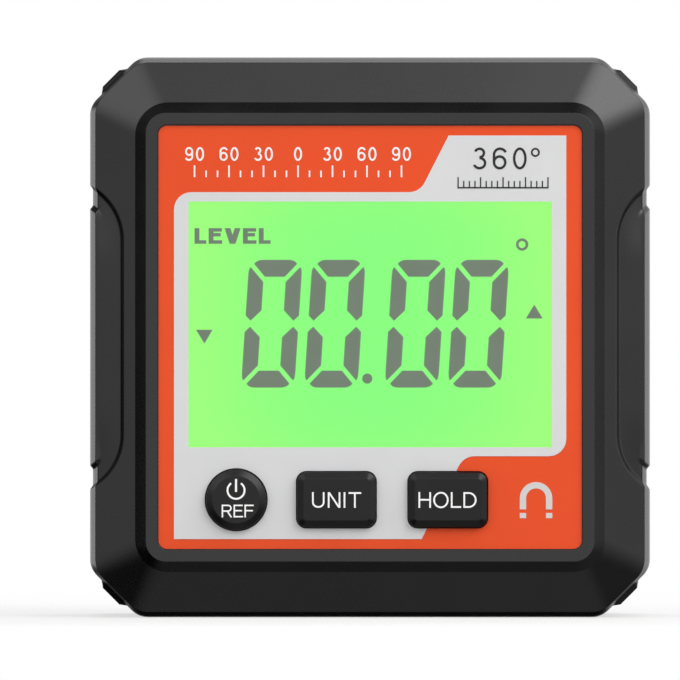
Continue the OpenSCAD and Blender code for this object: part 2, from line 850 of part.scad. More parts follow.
module light_guide() {
    color([0.7, 1, 0.65])
        block(0, (guide_foot + guide_head) / 2, guide_w, guide_head - guide_foot,
            lcd_back + fit_gap, board_front);
}

module backlight_diodes() {
    color([0.95, 0.95, 0.8])
        for (side = [-1, 1])
            block(side * (led_x + led_t / 2), window_z, led_t, led_w, board_front - led_h, board_front);
}

module connector_strip() {
    color([0.25, 0.25, 0.3])
        block(0, strip_foot + strip_w / 2, lcd_w - 2 * holder_wall - 2 * seat_gap, strip_w,
            lcd_back + fit_gap, board_front);
}

module main_board() {
    color([0.1, 0.4, 0.2])
        difference() {
            block(0, 0, board_w, board_h, board_front, board_back);
            at_screws()
                bar(0, 0, 2 * (post_r + notch_gap), board_front - bite, board_back + bite);
            at_board_screws()
                bar(0, 0, board_screw_d + 2 * seat_gap, board_front - bite, board_back + bite);
        }
}

module tilt_sensor() {
    color([0.12, 0.12, 0.13])
        block(0, -sensor_z, sensor_w, sensor_w, board_back, board_back + sensor_t);
}

module controller_chip() {
    color([0.12, 0.12, 0.13])
        block(chip_x, chip_z, chip_w, chip_w, board_back, board_back + chip_t);
}

// A clock can, a regulator and a row of small capacitors
module board_components() {
    color([0.7, 0.62, 0.45]) {
        block(-can_x, can_z, can_w, can_l, board_back, board_back + can_t);
        block(-regulator_x, regulator_z, regulator_w, regulator_l, board_back, board_back + regulator_t);
        for (i = [0:4])
            block(capacitor_x + capacitor_pitch * i, -capacitor_z, capacitor_w, capacitor_l,
                board_back, board_back + capacitor_t);
    }
}

module power_button() {
    face = -button_proud;
    color([0.2, 0.2, 0.2])
        union() {
            translate([-power_x, face - case_d / 2, case_h / 2 - button_z])
                rotate([-90, 0, 0])
                    rotate_extrude()
                        polygon(concat(
                            [[0, flange_front - face], [0, 0]],
                            [for (i = [0:arc_steps]) let (turn = 90 * i / arc_steps)
                                [power_d / 2, button_soft] + button_soft * [sin(turn) - 1, -cos(turn)]],
                            [[power_d / 2, flange_front - face]]
                        ));
            bar(-power_x, -button_z, power_d + 2 * flange_w, flange_front, flange_back);
            bar(-power_x, -button_z, stem_d, flange_back - bite, plunger_top);
        }
}

// A rectangular button with a rounded edge, a flange behind the wall and a stem onto its switch
module key_button(x) {
    color([0.2, 0.2, 0.2])
        union() {
            translate([x, 0, -button_z])
                loft(concat(
                    [for (i = [0:arc_steps])
                        let (turn = 90 * i / arc_steps, inset = button_soft * (1 - sin(turn)))
                        let (r = max(key_r - inset, 0.3))
                        [
                            button_soft * (1 - cos(turn)) - button_proud,
                            key_w - 2 * inset, key_h - 2 * inset, round_leg * r, r
                        ]],
                    [[flange_front + flange_t / 2, key_w, key_h, round_leg * key_r, key_r]]
                ));
            translate([x, 0, -button_z])
                slab(flange_front, flange_back)
                    polygon(soft_rect(key_w + 2 * flange_w, key_h + 2 * flange_w, key_r + flange_w));
            bar(x, -button_z, stem_d, flange_back - bite, plunger_top);
        }
}

module unit_button() {
    key_button(-unit_x);
}

module hold_button() {
    key_button(hold_x);
}

module switch_body(x) {
    color([0.15, 0.15, 0.16])
        difference() {
            block(x, -button_z, switch_w, switch_w, switch_top, board_front);
            bar(x, -button_z, plunger_d + 2 * slide_gap,
                switch_top - bite, switch_top + plunger_in + 2 * button_travel);
        }
}

module switch_plunger(x) {
    color([0.6, 0.6, 0.58])
        bar(x, -button_z, plunger_d, plunger_top, switch_top + plunger_in);
}

module power_switch() {
    switch_body(-power_x);
}

module unit_switch() {
    switch_body(-unit_x);
}

module hold_switch() {
    switch_body(hold_x);
}

module power_plunger() {
    switch_plunger(-power_x);
}

module unit_plunger() {
    switch_plunger(-unit_x);
}

module hold_plunger() {
    switch_plunger(hold_x);
}

// A cell with its button end to the right
module cell(z) {
    start = -bay_l / 2 + contact_t + spring_l + fit_gap;
    rod(start, z, cell_depth, cell_d, cell_l - nub_l);
    rod(start + cell_l - nub_l - bite, z, cell_depth, nub_d, nub_l + bite);
}

module upper_cell() {
    color([0.3, 0.35, 0.4])
        cell(cell_z);
}

module lower_cell() {
    color([0.3, 0.35, 0.4])
        mirror([1, 0, 0])
            cell(-cell_z);
}

// A contact plate at the left end of the bay
module contact_plate(z, h) {
    block(contact_t / 2 - bay_l / 2, z, contact_t, h, cell_depth - plate_h / 2, cell_depth + plate_h / 2);
}

// A tab that leads from a contact plate through the bay's floor
module contact_tab(z) {
    block(contact_t / 2 - bay_l / 2, z, contact_t, tab_w, tab_end, cell_depth);
}

module contact_bridge() {
    color([0.75, 0.72, 0.65])
        mirror([1, 0, 0])
            contact_plate(0, 2 * cell_z + plate_h);
}

module contact_positive() {
    color([0.75, 0.72, 0.65])
        union() {
            contact_plate(-cell_z, plate_h);
            contact_tab(-cell_z);
        }
}

module contact_negative() {
    color([0.75, 0.72, 0.65])
        union() {
            contact_plate(cell_z, plate_h);
            contact_tab(cell_z);
        }
}

// A conical coil along the width, wide where it stands on its contact plate
module coil(z) {
    turns = 4;
    steps = 16 * turns;
    sides = 8;
    wide = 0.36 * cell_d;
    narrow = 0.22 * cell_d;
    start = -bay_l / 2 + contact_t + wire_d / 2;
    points = flat([for (i = [0:steps])
        let (t = i / steps, turn = 360 * turns * t, r = wide + (narrow - wide) * t)
        [for (j = [0:sides - 1])
            let (out = r + wire_d / 2 * cos(360 * j / sides), along = wire_d / 2 * sin(360 * j / sides))
            [
                start + t * (spring_l - wire_d) + along,
                cell_depth - case_d / 2 + out * cos(turn),
                z + case_h / 2 + out * sin(turn)
            ]]]);
    faces = [for (i = [0:steps - 1]) for (j = [0:sides - 1])
        let (k = (j + 1) % sides)
        [i * sides + j, (i + 1) * sides + j, (i + 1) * sides + k, i * sides + k]];
    first = [for (j = [0:sides - 1]) j];
    last = [for (j = [0:sides - 1]) steps * sides + sides - 1 - j];
    polyhedron(points, concat([first], faces, [last]));
}

module upper_spring() {
    color([0.8, 0.8, 0.8])
        coil(cell_z);
}

module lower_spring() {
    color([0.8, 0.8, 0.8])
        mirror([1, 0, 0])
            coil(-cell_z);
}

// A lead from a contact tab to the back of the board
module lead(z) {
    bar(contact_t / 2 - bay_l / 2, z, lead_d, board_back, tab_end);
}

module positive_lead() {
    color([0.8, 0.1, 0.1])
        lead(-cell_z);
}

module negative_lead() {
    color([0.1, 0.1, 0.1])
        lead(cell_z);
}

module base_magnets() {
    color([0.75, 0.76, 0.78])
        at_magnets()
            translate([0, 0, magnet_sunk])
                cylinder(h = magnet_t, d = magnet_d);
}

// A screw along the depth with its head to the back and a cross cut in the head
module screw(d, l, head_d, head_h, seat) {
    slot = head_d / 7;
    difference() {
        union() {
            bar(0, 0, d, seat - l, seat + head_h / 2);
            bar(0, 0, head_d, seat, seat + head_h);
        }
        block(0, 0, slot, head_d * 0.6, seat + head_h / 2, seat + head_h + bite);
        block(0, 0, head_d * 0.6, slot, seat + head_h / 2, seat + head_h + bite);
    }
}

module case_screws() {
    color([0.3, 0.3, 0.32])
        at_screws()
            screw(screw_d, screw_l, screw_head_d, screw_head_h, screw_seat);
}

module board_screws() {
    color([0.7, 0.7, 0.72])
        at_board_screws()
            screw(board_screw_d, board_screw_l, 2 * board_screw_d, 0.6 * board_screw_d, board_back);
}

front_housing();
rear_cover();
battery_door();
front_label();
label_field();
display_window();
lcd_panel();
lcd_segments();
lcd_holder();
light_guide();
backlight_diodes();
connector_strip();
main_board();
tilt_sensor();
controller_chip();
board_components();
power_button();
unit_button();
hold_button();
power_switch();
unit_switch();
hold_switch();
power_plunger();
unit_plunger();
hold_plunger();
upper_cell();
lower_cell();
contact_bridge();
contact_positive();
contact_negative();
upper_spring();
lower_spring();
positive_lead();
negative_lead();
base_magnets();
case_screws();
board_screws();
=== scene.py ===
"""Looks of the digital angle gauge: its moulded case, printed label, lit display and keys.

Sizes are in millimetres and are turned into metres where a mesh is made. X runs to the right of the
display, Y into the depth and Z up from the base. A depth is measured from the front frame, and a height
from the middle of the case.
"""

import logging
import math
from collections.abc import Sequence
from dataclasses import dataclass, field
from enum import Enum

import bpy
import numpy as np
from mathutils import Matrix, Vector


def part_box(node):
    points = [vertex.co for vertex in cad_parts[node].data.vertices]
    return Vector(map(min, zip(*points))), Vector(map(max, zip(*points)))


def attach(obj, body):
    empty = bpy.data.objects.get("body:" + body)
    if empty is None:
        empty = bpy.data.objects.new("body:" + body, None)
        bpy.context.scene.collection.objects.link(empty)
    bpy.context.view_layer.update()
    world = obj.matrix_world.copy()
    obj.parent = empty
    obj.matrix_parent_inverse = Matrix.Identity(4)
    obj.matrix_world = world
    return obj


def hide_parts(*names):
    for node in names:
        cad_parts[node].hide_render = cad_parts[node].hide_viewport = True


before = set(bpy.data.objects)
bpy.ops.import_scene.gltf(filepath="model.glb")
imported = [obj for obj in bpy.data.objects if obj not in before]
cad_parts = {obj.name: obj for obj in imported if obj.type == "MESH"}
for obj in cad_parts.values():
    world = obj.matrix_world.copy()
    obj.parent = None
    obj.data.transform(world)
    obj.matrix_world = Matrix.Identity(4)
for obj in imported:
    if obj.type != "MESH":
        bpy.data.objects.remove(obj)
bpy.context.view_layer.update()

log = logging.getLogger("angle_gauge")

Colour = tuple[float, float, float]

MM = 0.001


def node_box(name: str) -> np.ndarray:
    """Lowest and highest corners of a CAD node, in millimetres to three places."""
    return np.round(np.array(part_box(name)) / MM, 3)


CASE_SIDE = float(np.ptp(node_box("front_housing")[:, 0]))
CASE_DEPTH = float(node_box("rear_cover")[1, 1] - node_box("front_housing")[0, 1])


def front_depth(name: str) -> float:
    """Depth of a CAD node's front behind the front frame."""
    return round(float(node_box(name)[0, 1]) + CASE_DEPTH / 2, 3)


LABEL_FACE = front_depth("front_label")
FIELD_FACE = front_depth("label_field")
GLASS_FACE = front_depth("lcd_panel")
KEY_FACE = front_depth("power_button")

# A print stands this far above its face, and its root lies this far under it
PRINT_LIFT = 0.03
PRINT_ROOT = 0.02

# Half the width of an arrowhead's tip
TIP_HALF = 0.01

# Edges that bend by more than this stay crisp
SMOOTH_ANGLE = math.radians(32)

# Chamfer leg of a quarter-round corner with a radius of 1
ROUND_LEG = 2 - math.sqrt(2)

# Length of the tangent to an eighth turn with a radius of 1
ARC_REACH = math.sqrt(2) - 1


def linear(code: str) -> Colour:
    """Turns a display colour into the linear one that shaders use.

    Args:
        code: Six hexadecimal digits, red first.

    Returns:
        The red, green and blue parts, each from 0 to 1.
    """
    parts = (int(code[i:i + 2], 16) / 255 for i in (0, 2, 4))
    return tuple(p / 12.92 if p <= 0.04045 else ((p + 0.055) / 1.055) ** 2.4 for p in parts)


class Body(Enum):
    """The bodies of the gauge that pieces ride on."""

    CASE = "case"
    POWER_KEY = "power_key"
    UNIT_KEY = "unit_key"
    HOLD_KEY = "hold_key"
    DOOR = "door"


# Shader expressions


class Value:
    """A number socket of a shader. Python's operators on it add Math nodes."""

    def __init__(self, recipe: "Recipe", socket: bpy.types.NodeSocket) -> None:
        """Keeps the socket and the recipe that new nodes go into."""
        self.recipe = recipe
        self.socket = socket

    def _math(self, operation: str, left: "Value | float", right: "Value | float" = 0.0) -> "Value":
        """Adds one Math node.

        Args:
            operation: The Math node's operation.
            left: The first value.
            right: The second value, where the operation has one.

        Returns:
            The node's result.
        """
        return self.recipe.value("ShaderNodeMath", {"operation": operation}, {0: left, 1: right})

    def __add__(self, other: "Value | float") -> "Value":
        """Sum of two values."""
        return self._math("ADD", self, other)

    def __sub__(self, other: "Value | float") -> "Value":
        """Difference of two values."""
        return self._math("SUBTRACT", self, other)

    def __rsub__(self, other: float) -> "Value":
        """Difference of a number and a value."""
        return self._math("SUBTRACT", other, self)

    def __mul__(self, other: "Value | float") -> "Value":
        """Product of two values."""
        return self._math("MULTIPLY", self, other)

    def __pow__(self, other: float) -> "Value":
        """Power of a value."""
        return self._math("POWER", self, other)

    def __abs__(self) -> "Value":
        """Size of a value without its sign."""
        return self._math("ABSOLUTE", self)

    __radd__ = __add__
    __rmul__ = __mul__

    def most(self, other: "Value | float") -> "Value":
        """Larger of two values."""
        return self._math("MAXIMUM", self, other)

    def step(self, low: float, high: float) -> "Value":
        """Smooth step that is 0 up to low and 1 from high on.

        Args:
            low: Where the step starts.
            high: Where the step ends.

        Returns:
            A value from 0 to 1.
        """
        inputs = {0: self, 1: low, 2: high, 3: 0.0, 4: 1.0}
        return self.recipe.value("ShaderNodeMapRange", {"interpolation_type": "SMOOTHSTEP"}, inputs)


class Recipe:
    """A node tree that is filled from Python expressions."""

    def __init__(self, tree: bpy.types.NodeTree) -> None:
        """Empties the tree."""
        self.tree = tree
        tree.nodes.clear()

    def node(self, kind: str, settings: dict | None = None, inputs: dict | None = None) -> bpy.types.Node:
        """Adds a node.

        Args:
            kind: The node's type.
            settings: Its properties, which are set first.
            inputs: A value, socket or Value for each input, by name or number.

        Returns:
            The new node.
        """
        made = self.tree.nodes.new(kind)
        for name, setting in (settings or {}).items():
            setattr(made, name, setting)
        for key, given in (inputs or {}).items():
            source = given.socket if isinstance(given, Value) else given
            if isinstance(source, bpy.types.NodeSocket):
                self.tree.links.new(source, made.inputs[key])
            elif isinstance(source, tuple) and made.inputs[key].type == "RGBA":
                made.inputs[key].default_value = (*source, 1.0)
            else:
                made.inputs[key].default_value = source
        return made

    def value(
        self, kind: str, settings: dict | None = None, inputs: dict | None = None, out: str | int = 0
    ) -> Value:
        """Adds a node and gives one of its outputs as a value.

        Args:
            kind: The node's type.
            settings: Its properties.
            inputs: Its inputs.
            out: Name or number of the output.

        Returns:
            The output.
        """
        return Value(self, self.node(kind, settings, inputs).outputs[out])

    def place(self) -> bpy.types.NodeSocket:
        """Position on the piece, in metres of the shared frame."""
        return self.node("ShaderNodeTexCoord").outputs["Object"]

    def axes(self) -> tuple[Value, Value, Value]:
        """Position on the piece as three values, in metres."""
        split = self.node("ShaderNodeSeparateXYZ", None, {0: self.place()})
        return tuple(Value(self, split.outputs[i]) for i in range(3))

    def noise(self, grain_mm: float, detail: float = 2.0) -> Value:
        """Cloudy noise from 0 to 1.

        Args:
            grain_mm: Size of its grains.
            detail: Number of finer layers.

        Returns:
            The noise.
        """
        inputs = {"Vector": self.place(), "Scale": 1 / (grain_mm * MM), "Detail": detail}
        return self.value("ShaderNodeTexNoise", None, inputs)

    def blend(self, share: Value, first: object, second: object) -> bpy.types.NodeSocket:
        """Mixes two colours.

        Args:
            share: Share of the second colour.
            first: A colour or a colour socket.
            second: A colour or a colour socket.

        Returns:
            The mixed colour.
        """
        return self.node("ShaderNodeMix", {"data_type": "RGBA"}, {0: share, 6: first, 7: second}).outputs[2]

    def relief(self, height: Value, depth_mm: float) -> bpy.types.NodeSocket:
        """Turns a height from 0 to 1 into a surface normal.

        Args:
            height: The height.
            depth_mm: How deep the relief is.

        Returns:
            The normal.
        """
        return self.node("ShaderNodeBump", None, {"Distance": depth_mm * MM, "Height": height}).outputs[0]


def new_material(name: str) -> tuple[bpy.types.Material, Recipe]:
    """Makes an empty material.

    Args:
        name: Its name.

    Returns:
        The material and the recipe of its nodes.
    """
    material = bpy.data.materials.new(name)
    material.use_nodes = True
    return material, Recipe(material.node_tree)


# Finishes


@dataclass(frozen=True)
class Finish:
    """A surface finish: its name and what feeds the sockets of the main shader."""

    name: str

    def sockets(self, recipe: Recipe) -> dict:
        """Values and links of the main shader's sockets, which each finish gives."""
        raise NotImplementedError

    def material(self) -> bpy.types.Material:
        """Makes the material.

        Returns:
            The new material.
        """
        material, recipe = new_material(self.name)
        shader = recipe.node("ShaderNodeBsdfPrincipled", None, self.sockets(recipe))
        recipe.node("ShaderNodeOutputMaterial", None, {"Surface": shader.outputs[0]})
        return material


@dataclass(frozen=True)
class MouldedPlastic(Finish):
    """Satin plastic with the fine grain of a spark-eroded mould."""

    colour: Colour
    roughness: float = 0.28
    index: float = 1.6
    grain_mm: float = 0.16
    grain_depth_mm: float = 0.002
    cloud_mm: float = 9.0
    wear: float = 1.18
    wear_lift: float = 0.002
    spread: float = 0.04

    def sockets(self, recipe: Recipe) -> dict:
        """Colour and roughness in slow clouds, with the grain in roughness and normal.

        Args:
            recipe: The recipe that the nodes go into.

        Returns:
            Values and links of the sockets.
        """
        grain = recipe.noise(self.grain_mm)
        cloud = recipe.noise(self.cloud_mm, 3.0)
        worn = tuple(self.wear * c + self.wear_lift for c in self.colour)
        return {
            "Base Color": recipe.blend(cloud.step(0.35, 0.75), self.colour, worn),
            "Roughness": self.roughness + self.spread * (cloud - 0.5) + self.spread * (grain - 0.5),
            "IOR": self.index,
            "Normal": recipe.relief(grain, self.grain_depth_mm),
        }


@dataclass(frozen=True)
class PrintedFilm(Finish):
    """Printed film with a matt grain and a slightly uneven ink."""

    colour: Colour
    roughness: float = 0.5
    unevenness: float = 0.03
    grain_mm: float = 0.12
    grain_depth_mm: float = 0.002
    cloud_mm: float = 6.0
    spread: float = 0.08

    def sockets(self, recipe: Recipe) -> dict:
        """Ink that thins in clouds, with a fine grain in roughness and normal.

        Args:
            recipe: The recipe that the nodes go into.

        Returns:
            Values and links of the sockets.
        """
        grain = recipe.noise(self.grain_mm)
        cloud = recipe.noise(self.cloud_mm, 3.0)
        thin = tuple(c * (1 - self.unevenness) for c in self.colour)
        return {
            "Base Color": recipe.blend(cloud.step(0.3, 0.8), self.colour, thin),
            "Roughness": self.roughness + self.spread * (grain - 0.5),
            "Specular IOR Level": 0.1,
            "Normal": recipe.relief(grain, self.grain_depth_mm),
        }


@dataclass(frozen=True)
class LitPanel(Finish):
    """Backlit glass of the display: pure green in the middle and yellower towards the lamps at its sides."""

    middle: Colour
    edge: Colour
    strength: float = 1.0
    half_width_mm: float = 19.0
    middle_mm: float = 31.4
    half_height_mm: float = 13.2
    rest: float = 0.15625
    stretch: float = 1.4545

    def sockets(self, recipe: Recipe) -> dict:
        """Glow whose share of the edge colour grows with the square of the distance from the middle.

        The smooth step gives the rest value in the middle, so that is taken off and what remains is
        stretched to 1.

        Args:
            recipe: The recipe that the nodes go into.

        Returns:
            Values and links of the sockets.
        """
        x, _, z = recipe.axes()
        across = (x * (1 / (self.half_width_mm * MM))) ** 2
        upright = abs((z - self.middle_mm * MM) * (1 / (self.half_height_mm * MM))) ** 6
        cloud = recipe.noise(7.0, 1.0)
        share = (across + 0.35 * upright + 0.08 * (cloud - 0.5)).step(-0.5, 1.5)
        return {
            "Base Color": (0.004, 0.012, 0.004),
            "Roughness": 0.35,
            "Specular IOR Level": 0.1,
            "Emission Color": recipe.blend((share - self.rest) * self.stretch, self.middle, self.edge),
            "Emission Strength": self.strength,
        }


@dataclass(frozen=True)
class LitInk(Finish):
    """Dark liquid crystal that lets part of the backlight through."""

    colour: Colour
    strength: float = 1.0

    def sockets(self, recipe: Recipe) -> dict:
        """Glow in two near tones.

        Args:
            recipe: The recipe that the nodes go into.

        Returns:
            Values and links of the sockets.
        """
        cloud = recipe.noise(2.5, 2.0)
        deep = tuple(0.93 * c for c in self.colour)
        return {
            "Base Color": (0.005, 0.006, 0.005),
            "Roughness": 0.5,
            "Specular IOR Level": 0.1,
            "Emission Color": recipe.blend(cloud.step(0.3, 0.8), self.colour, deep),
            "Emission Strength": self.strength,
        }


@dataclass(frozen=True)
class ClearPlastic(Finish):
    """Clear moulded plastic with faint waves in its surface."""

    tint: Colour
    roughness: float = 0.03
    index: float = 1.2

    def sockets(self, recipe: Recipe) -> dict:
        """Clear body whose roughness follows slow waves.

        Args:
            recipe: The recipe that the nodes go into.

        Returns:
            Values and links of the sockets.
        """
        return {
            "Base Color": self.tint,
            "Roughness": self.roughness + 0.02 * recipe.noise(5.0, 1.0),
            "IOR": self.index,
            "Transmission Weight": 1.0,
        }


@dataclass(frozen=True)
class Metal(Finish):
    """Plated or bare metal with fine scratches along one way."""

    colour: Colour
    roughness: float = 0.28
    spread: float = 0.16
    dulling: float = 0.82
    scratch_depth_mm: float = 0.002

    def sockets(self, recipe: Recipe) -> dict:
        """Dull clouds, and scratches from noise that is drawn out along X.

        Args:
            recipe: The recipe that the nodes go into.

        Returns:
            Values and links of the sockets.
        """
        drawn = recipe.node("ShaderNodeMapping", None, {"Vector": recipe.place(), "Scale": (0.08, 1.0, 1.0)})
        fine = {"Vector": drawn.outputs[0], "Scale": 9000.0, "Detail": 2.0}
        scratch = recipe.value("ShaderNodeTexNoise", None, fine)
        cloud = recipe.noise(3.0)
        dull = tuple(self.dulling * c for c in self.colour)
        return {
            "Base Color": recipe.blend(cloud.step(0.35, 0.8), self.colour, dull),
            "Metallic": 1.0,
            "Roughness": self.roughness + self.spread * (scratch - 0.5),
            "Normal": recipe.relief(scratch, self.scratch_depth_mm),
        }


@dataclass(frozen=True)
class CellJacket(Finish):
    """Shrunk sleeve of a cell with a paler band at one end."""

    sleeve: Colour
    band: Colour
    band_from_mm: float

    def sockets(self, recipe: Recipe) -> dict:
        """Sleeve with a band that starts at a distance from the middle of the bay, on both ends.

        Args:
            recipe: The recipe that the nodes go into.

        Returns:
            Values and links of the sockets.
        """
        x, _, _ = recipe.axes()
        at = self.band_from_mm * MM
        cloud = recipe.noise(4.0)
        return {
            "Base Color": recipe.blend(abs(x).step(at, at + 0.2 * MM), self.sleeve, self.band),
            "Roughness": 0.3 + 0.1 * cloud,
            "Coat Weight": 0.3 * cloud,
        }


@dataclass(frozen=True)
class Board(Finish):
    """Solder mask over the glass weave and the copper runs of a circuit board."""

    mask: Colour
    run: Colour

    def sockets(self, recipe: Recipe) -> dict:
        """Mask over runs that follow the edges of a Voronoi pattern, with the weave as relief.

        Args:
            recipe: The recipe that the nodes go into.

        Returns:
            Values and links of the sockets.
        """
        cells = {"Vector": recipe.place(), "Scale": 300.0}
        runs = recipe.value("ShaderNodeTexVoronoi", {"feature": "DISTANCE_TO_EDGE"}, cells)
        weave = recipe.noise(0.3)
        return {
            "Base Color": recipe.blend(runs.step(0.02, 0.07), self.run, self.mask),
            "Roughness": 0.35 + 0.1 * weave,
            "Normal": recipe.relief(weave, 0.01),
        }


# Meshes


def put_mesh(name: str, points: np.ndarray, faces: Sequence[Sequence[int]]) -> bpy.types.Object:
    """Makes a smooth-shaded piece whose edges stay crisp above a limit angle.

    Args:
        name: The piece's name.
        points: Vertices in millimetres, one row each.
        faces: Vertex numbers of each face.

    Returns:
        The new object, at the origin.
    """
    mesh = bpy.data.meshes.new(name)
    mesh.from_pydata((points * MM).tolist(), [], [list(f) for f in faces])
    return link_mesh(name, mesh)


def link_mesh(name: str, mesh: bpy.types.Mesh) -> bpy.types.Object:
    """Links a mesh as a piece and sets its shading.

    Args:
        name: The piece's name.
        mesh: The mesh, with its place in its vertices.

    Returns:
        The new object, at the origin.
    """
    mesh.polygons.foreach_set("use_smooth", np.ones(len(mesh.polygons), bool))
    mesh.set_sharp_from_angle(angle=SMOOTH_ANGLE)
    mesh.update()
    piece = bpy.data.objects.new(name, mesh)
    bpy.context.scene.collection.objects.link(piece)
    return piece


def grid_quads(rows: int, columns: int, close_rows: bool, close_columns: bool) -> np.ndarray:
    """Faces of a grid of points.

    Args:
        rows: Number of rows.
        columns: Number of points in a row.
        close_rows: Whether the last row joins the first.
        close_columns: Whether the end of each row joins its start.

    Returns:
        Four vertex numbers a face.
    """
    across = np.arange(columns if close_columns else columns - 1)
    i, j = np.meshgrid(np.arange(rows if close_rows else rows - 1), across, indexing="ij")
    below, beside = (i + 1) % rows, (j + 1) % columns
    corners = (i * columns + j, i * columns + beside, below * columns + beside, below * columns + j)
    return np.stack([c.ravel() for c in corners], axis=1)


def outward(points: np.ndarray, quads: np.ndarray) -> np.ndarray:
    """Turns the faces of a closed surface to the outside.

    The signed volume is the sum of the wedges from the origin to the faces' triangles, and it is negative if
    the faces point inwards.

    Args:
        points: Vertices, one row each.
        quads: Four vertex numbers a face.

    Returns:
        The faces, all turned round if they pointed inwards.
    """
    a, b, c, d = (points[quads[:, k]] for k in range(4))
    wedges = np.einsum("ij,ij->i", a, np.cross(b, c)) + np.einsum("ij,ij->i", a, np.cross(c, d))
    return quads if wedges.sum() > 0 else quads[:, ::-1]


def smooth_step(t: np.ndarray) -> np.ndarray:
    """Cubic step from 0 to 1 as t goes from 0 to 1."""
    t = np.clip(t, 0, 1)
    return t * t * (3 - 2 * t)


def carve(piece: bpy.types.Object, cutter: bpy.types.Object) -> bpy.types.Object:
    """Cuts one closed piece out of another and removes the cutter.

    Args:
        piece: The piece that stays.
        cutter: The closed shape that is cut out.

    Returns:
        A new piece with the same name.
    """
    name = piece.name
    cut = piece.modifiers.new("cut", "BOOLEAN")
    cut.operation, cut.solver, cut.object = "DIFFERENCE", "EXACT", cutter
    graph = bpy.context.evaluated_depsgraph_get()
    mesh = bpy.data.meshes.new_from_object(piece.evaluated_get(graph))
    for used in (piece, cutter):
        bpy.data.objects.remove(used)
    return link_mesh(name, mesh)


def dress(piece: bpy.types.Object, material: bpy.types.Material) -> None:
    """Gives a piece or a CAD node one material."""
    piece.data.materials.clear()
    piece.data.materials.append(material)


def seat(
    piece: bpy.types.Object, material: bpy.types.Material, body: Body, slot: str | None = None, *nodes: str
) -> None:
    """Dresses a new piece, puts it on its body and reports it.

    Args:
        piece: The new piece.
        material: Its material.
        body: The body that it rides on.
        slot: Not used.
        nodes: CAD nodes that it stands for.
    """
    dress(piece, material)
    if nodes:
        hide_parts(*nodes)
    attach(piece, body.value)
    log.info("%s on %s, %d faces", piece.name, body.value, len(piece.data.polygons))


def dress_nodes(material: bpy.types.Material, *names: str) -> None:
    """Gives CAD nodes a material and reports them.

    Args:
        material: The material.
        names: The nodes.
    """
    for name in names:
        dress(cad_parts[name], material)
        log.info("%s dressed in %s", name, material.name)


# Outlines and the case skin


class Outline:
    """Rounded eight-sided outline that rings of the case and the keys share.

    Each corner is two arcs of an eighth turn with a straight chamfer between them. A ring is a row of depth,
    width, height, chamfer leg and arc radius. Every point is linear in that row, so rings blend exactly.
    """

    SIGN_X = np.array([1, 1, -1, -1, -1, -1, 1, 1])
    SIGN_Z = np.array([1, 1, 1, 1, -1, -1, -1, -1])
    ON_SIDE = np.array([True, False, False, True, True, False, False, True])

    def __init__(self, arc_steps: int, runs: Sequence[np.ndarray]) -> None:
        """Lists the stations round the outline.

        Args:
            arc_steps: Steps in each arc.
            runs: Shares of the straight run after each of the eight arcs at which a point stands.
        """
        parts = []
        for k in range(8):
            turn = np.radians(45 * (k + np.linspace(0, 1, arc_steps + 1)))
            parts.append(np.stack([0 * turn + k, 0 * turn + k, turn, 0 * turn], axis=1))
            share = np.asarray(runs[k], float)
            end = 0 * share + math.radians(45 * (k + 1))
            parts.append(np.stack([0 * share + k, 0 * share + (k + 1) % 8, end, share], axis=1))
        table = np.concatenate(parts)
        self.first, self.second = table[:, 0].astype(int), table[:, 1].astype(int)
        self.turn, self.share = table[:, 2], table[:, 3]

    def points(self, rings: np.ndarray, x: float = 0.0, height: float = 0.0) -> np.ndarray:
        """Points of rings: arc centre plus radius times direction, blended along the straight runs.

        Args:
            rings: Rows of depth, width, height, leg and radius.
            x: Place of the outline's middle right of the middle of the case.
            height: Place of the outline's middle above the middle of the case.

        Returns:
            An array of rings by stations by three coordinates, in millimetres.
        """
        depth, width, tall, leg, radius = (column[:, None] for column in np.asarray(rings, float).T)
        pull = leg + radius * ARC_REACH
        ends = []
        for arc in (self.first, self.second):
            side = self.ON_SIDE[arc]
            ends.append((
                self.SIGN_X[arc] * (width / 2 - np.where(side, radius, pull)) + radius * np.cos(self.turn),
                self.SIGN_Z[arc] * (tall / 2 - np.where(side, pull, radius)) + radius * np.sin(self.turn),
            ))
        (x0, z0), (x1, z1) = ends
        across = x0 + (x1 - x0) * self.share + x
        up = z0 + (z1 - z0) * self.share + height + CASE_SIDE / 2
        return np.stack([across, depth - CASE_DEPTH / 2 + 0 * across, up], axis=2)


@dataclass(frozen=True)
class Bend:
    """One corner of a profile: its ring, the length of its rounding and the points on the run after it.

    A run that is closed up has its outer points nearer to its ends.
    """

    ring: tuple[float, ...]
    rounding: float = 0.0
    run: int = 1
    close_up: bool = False


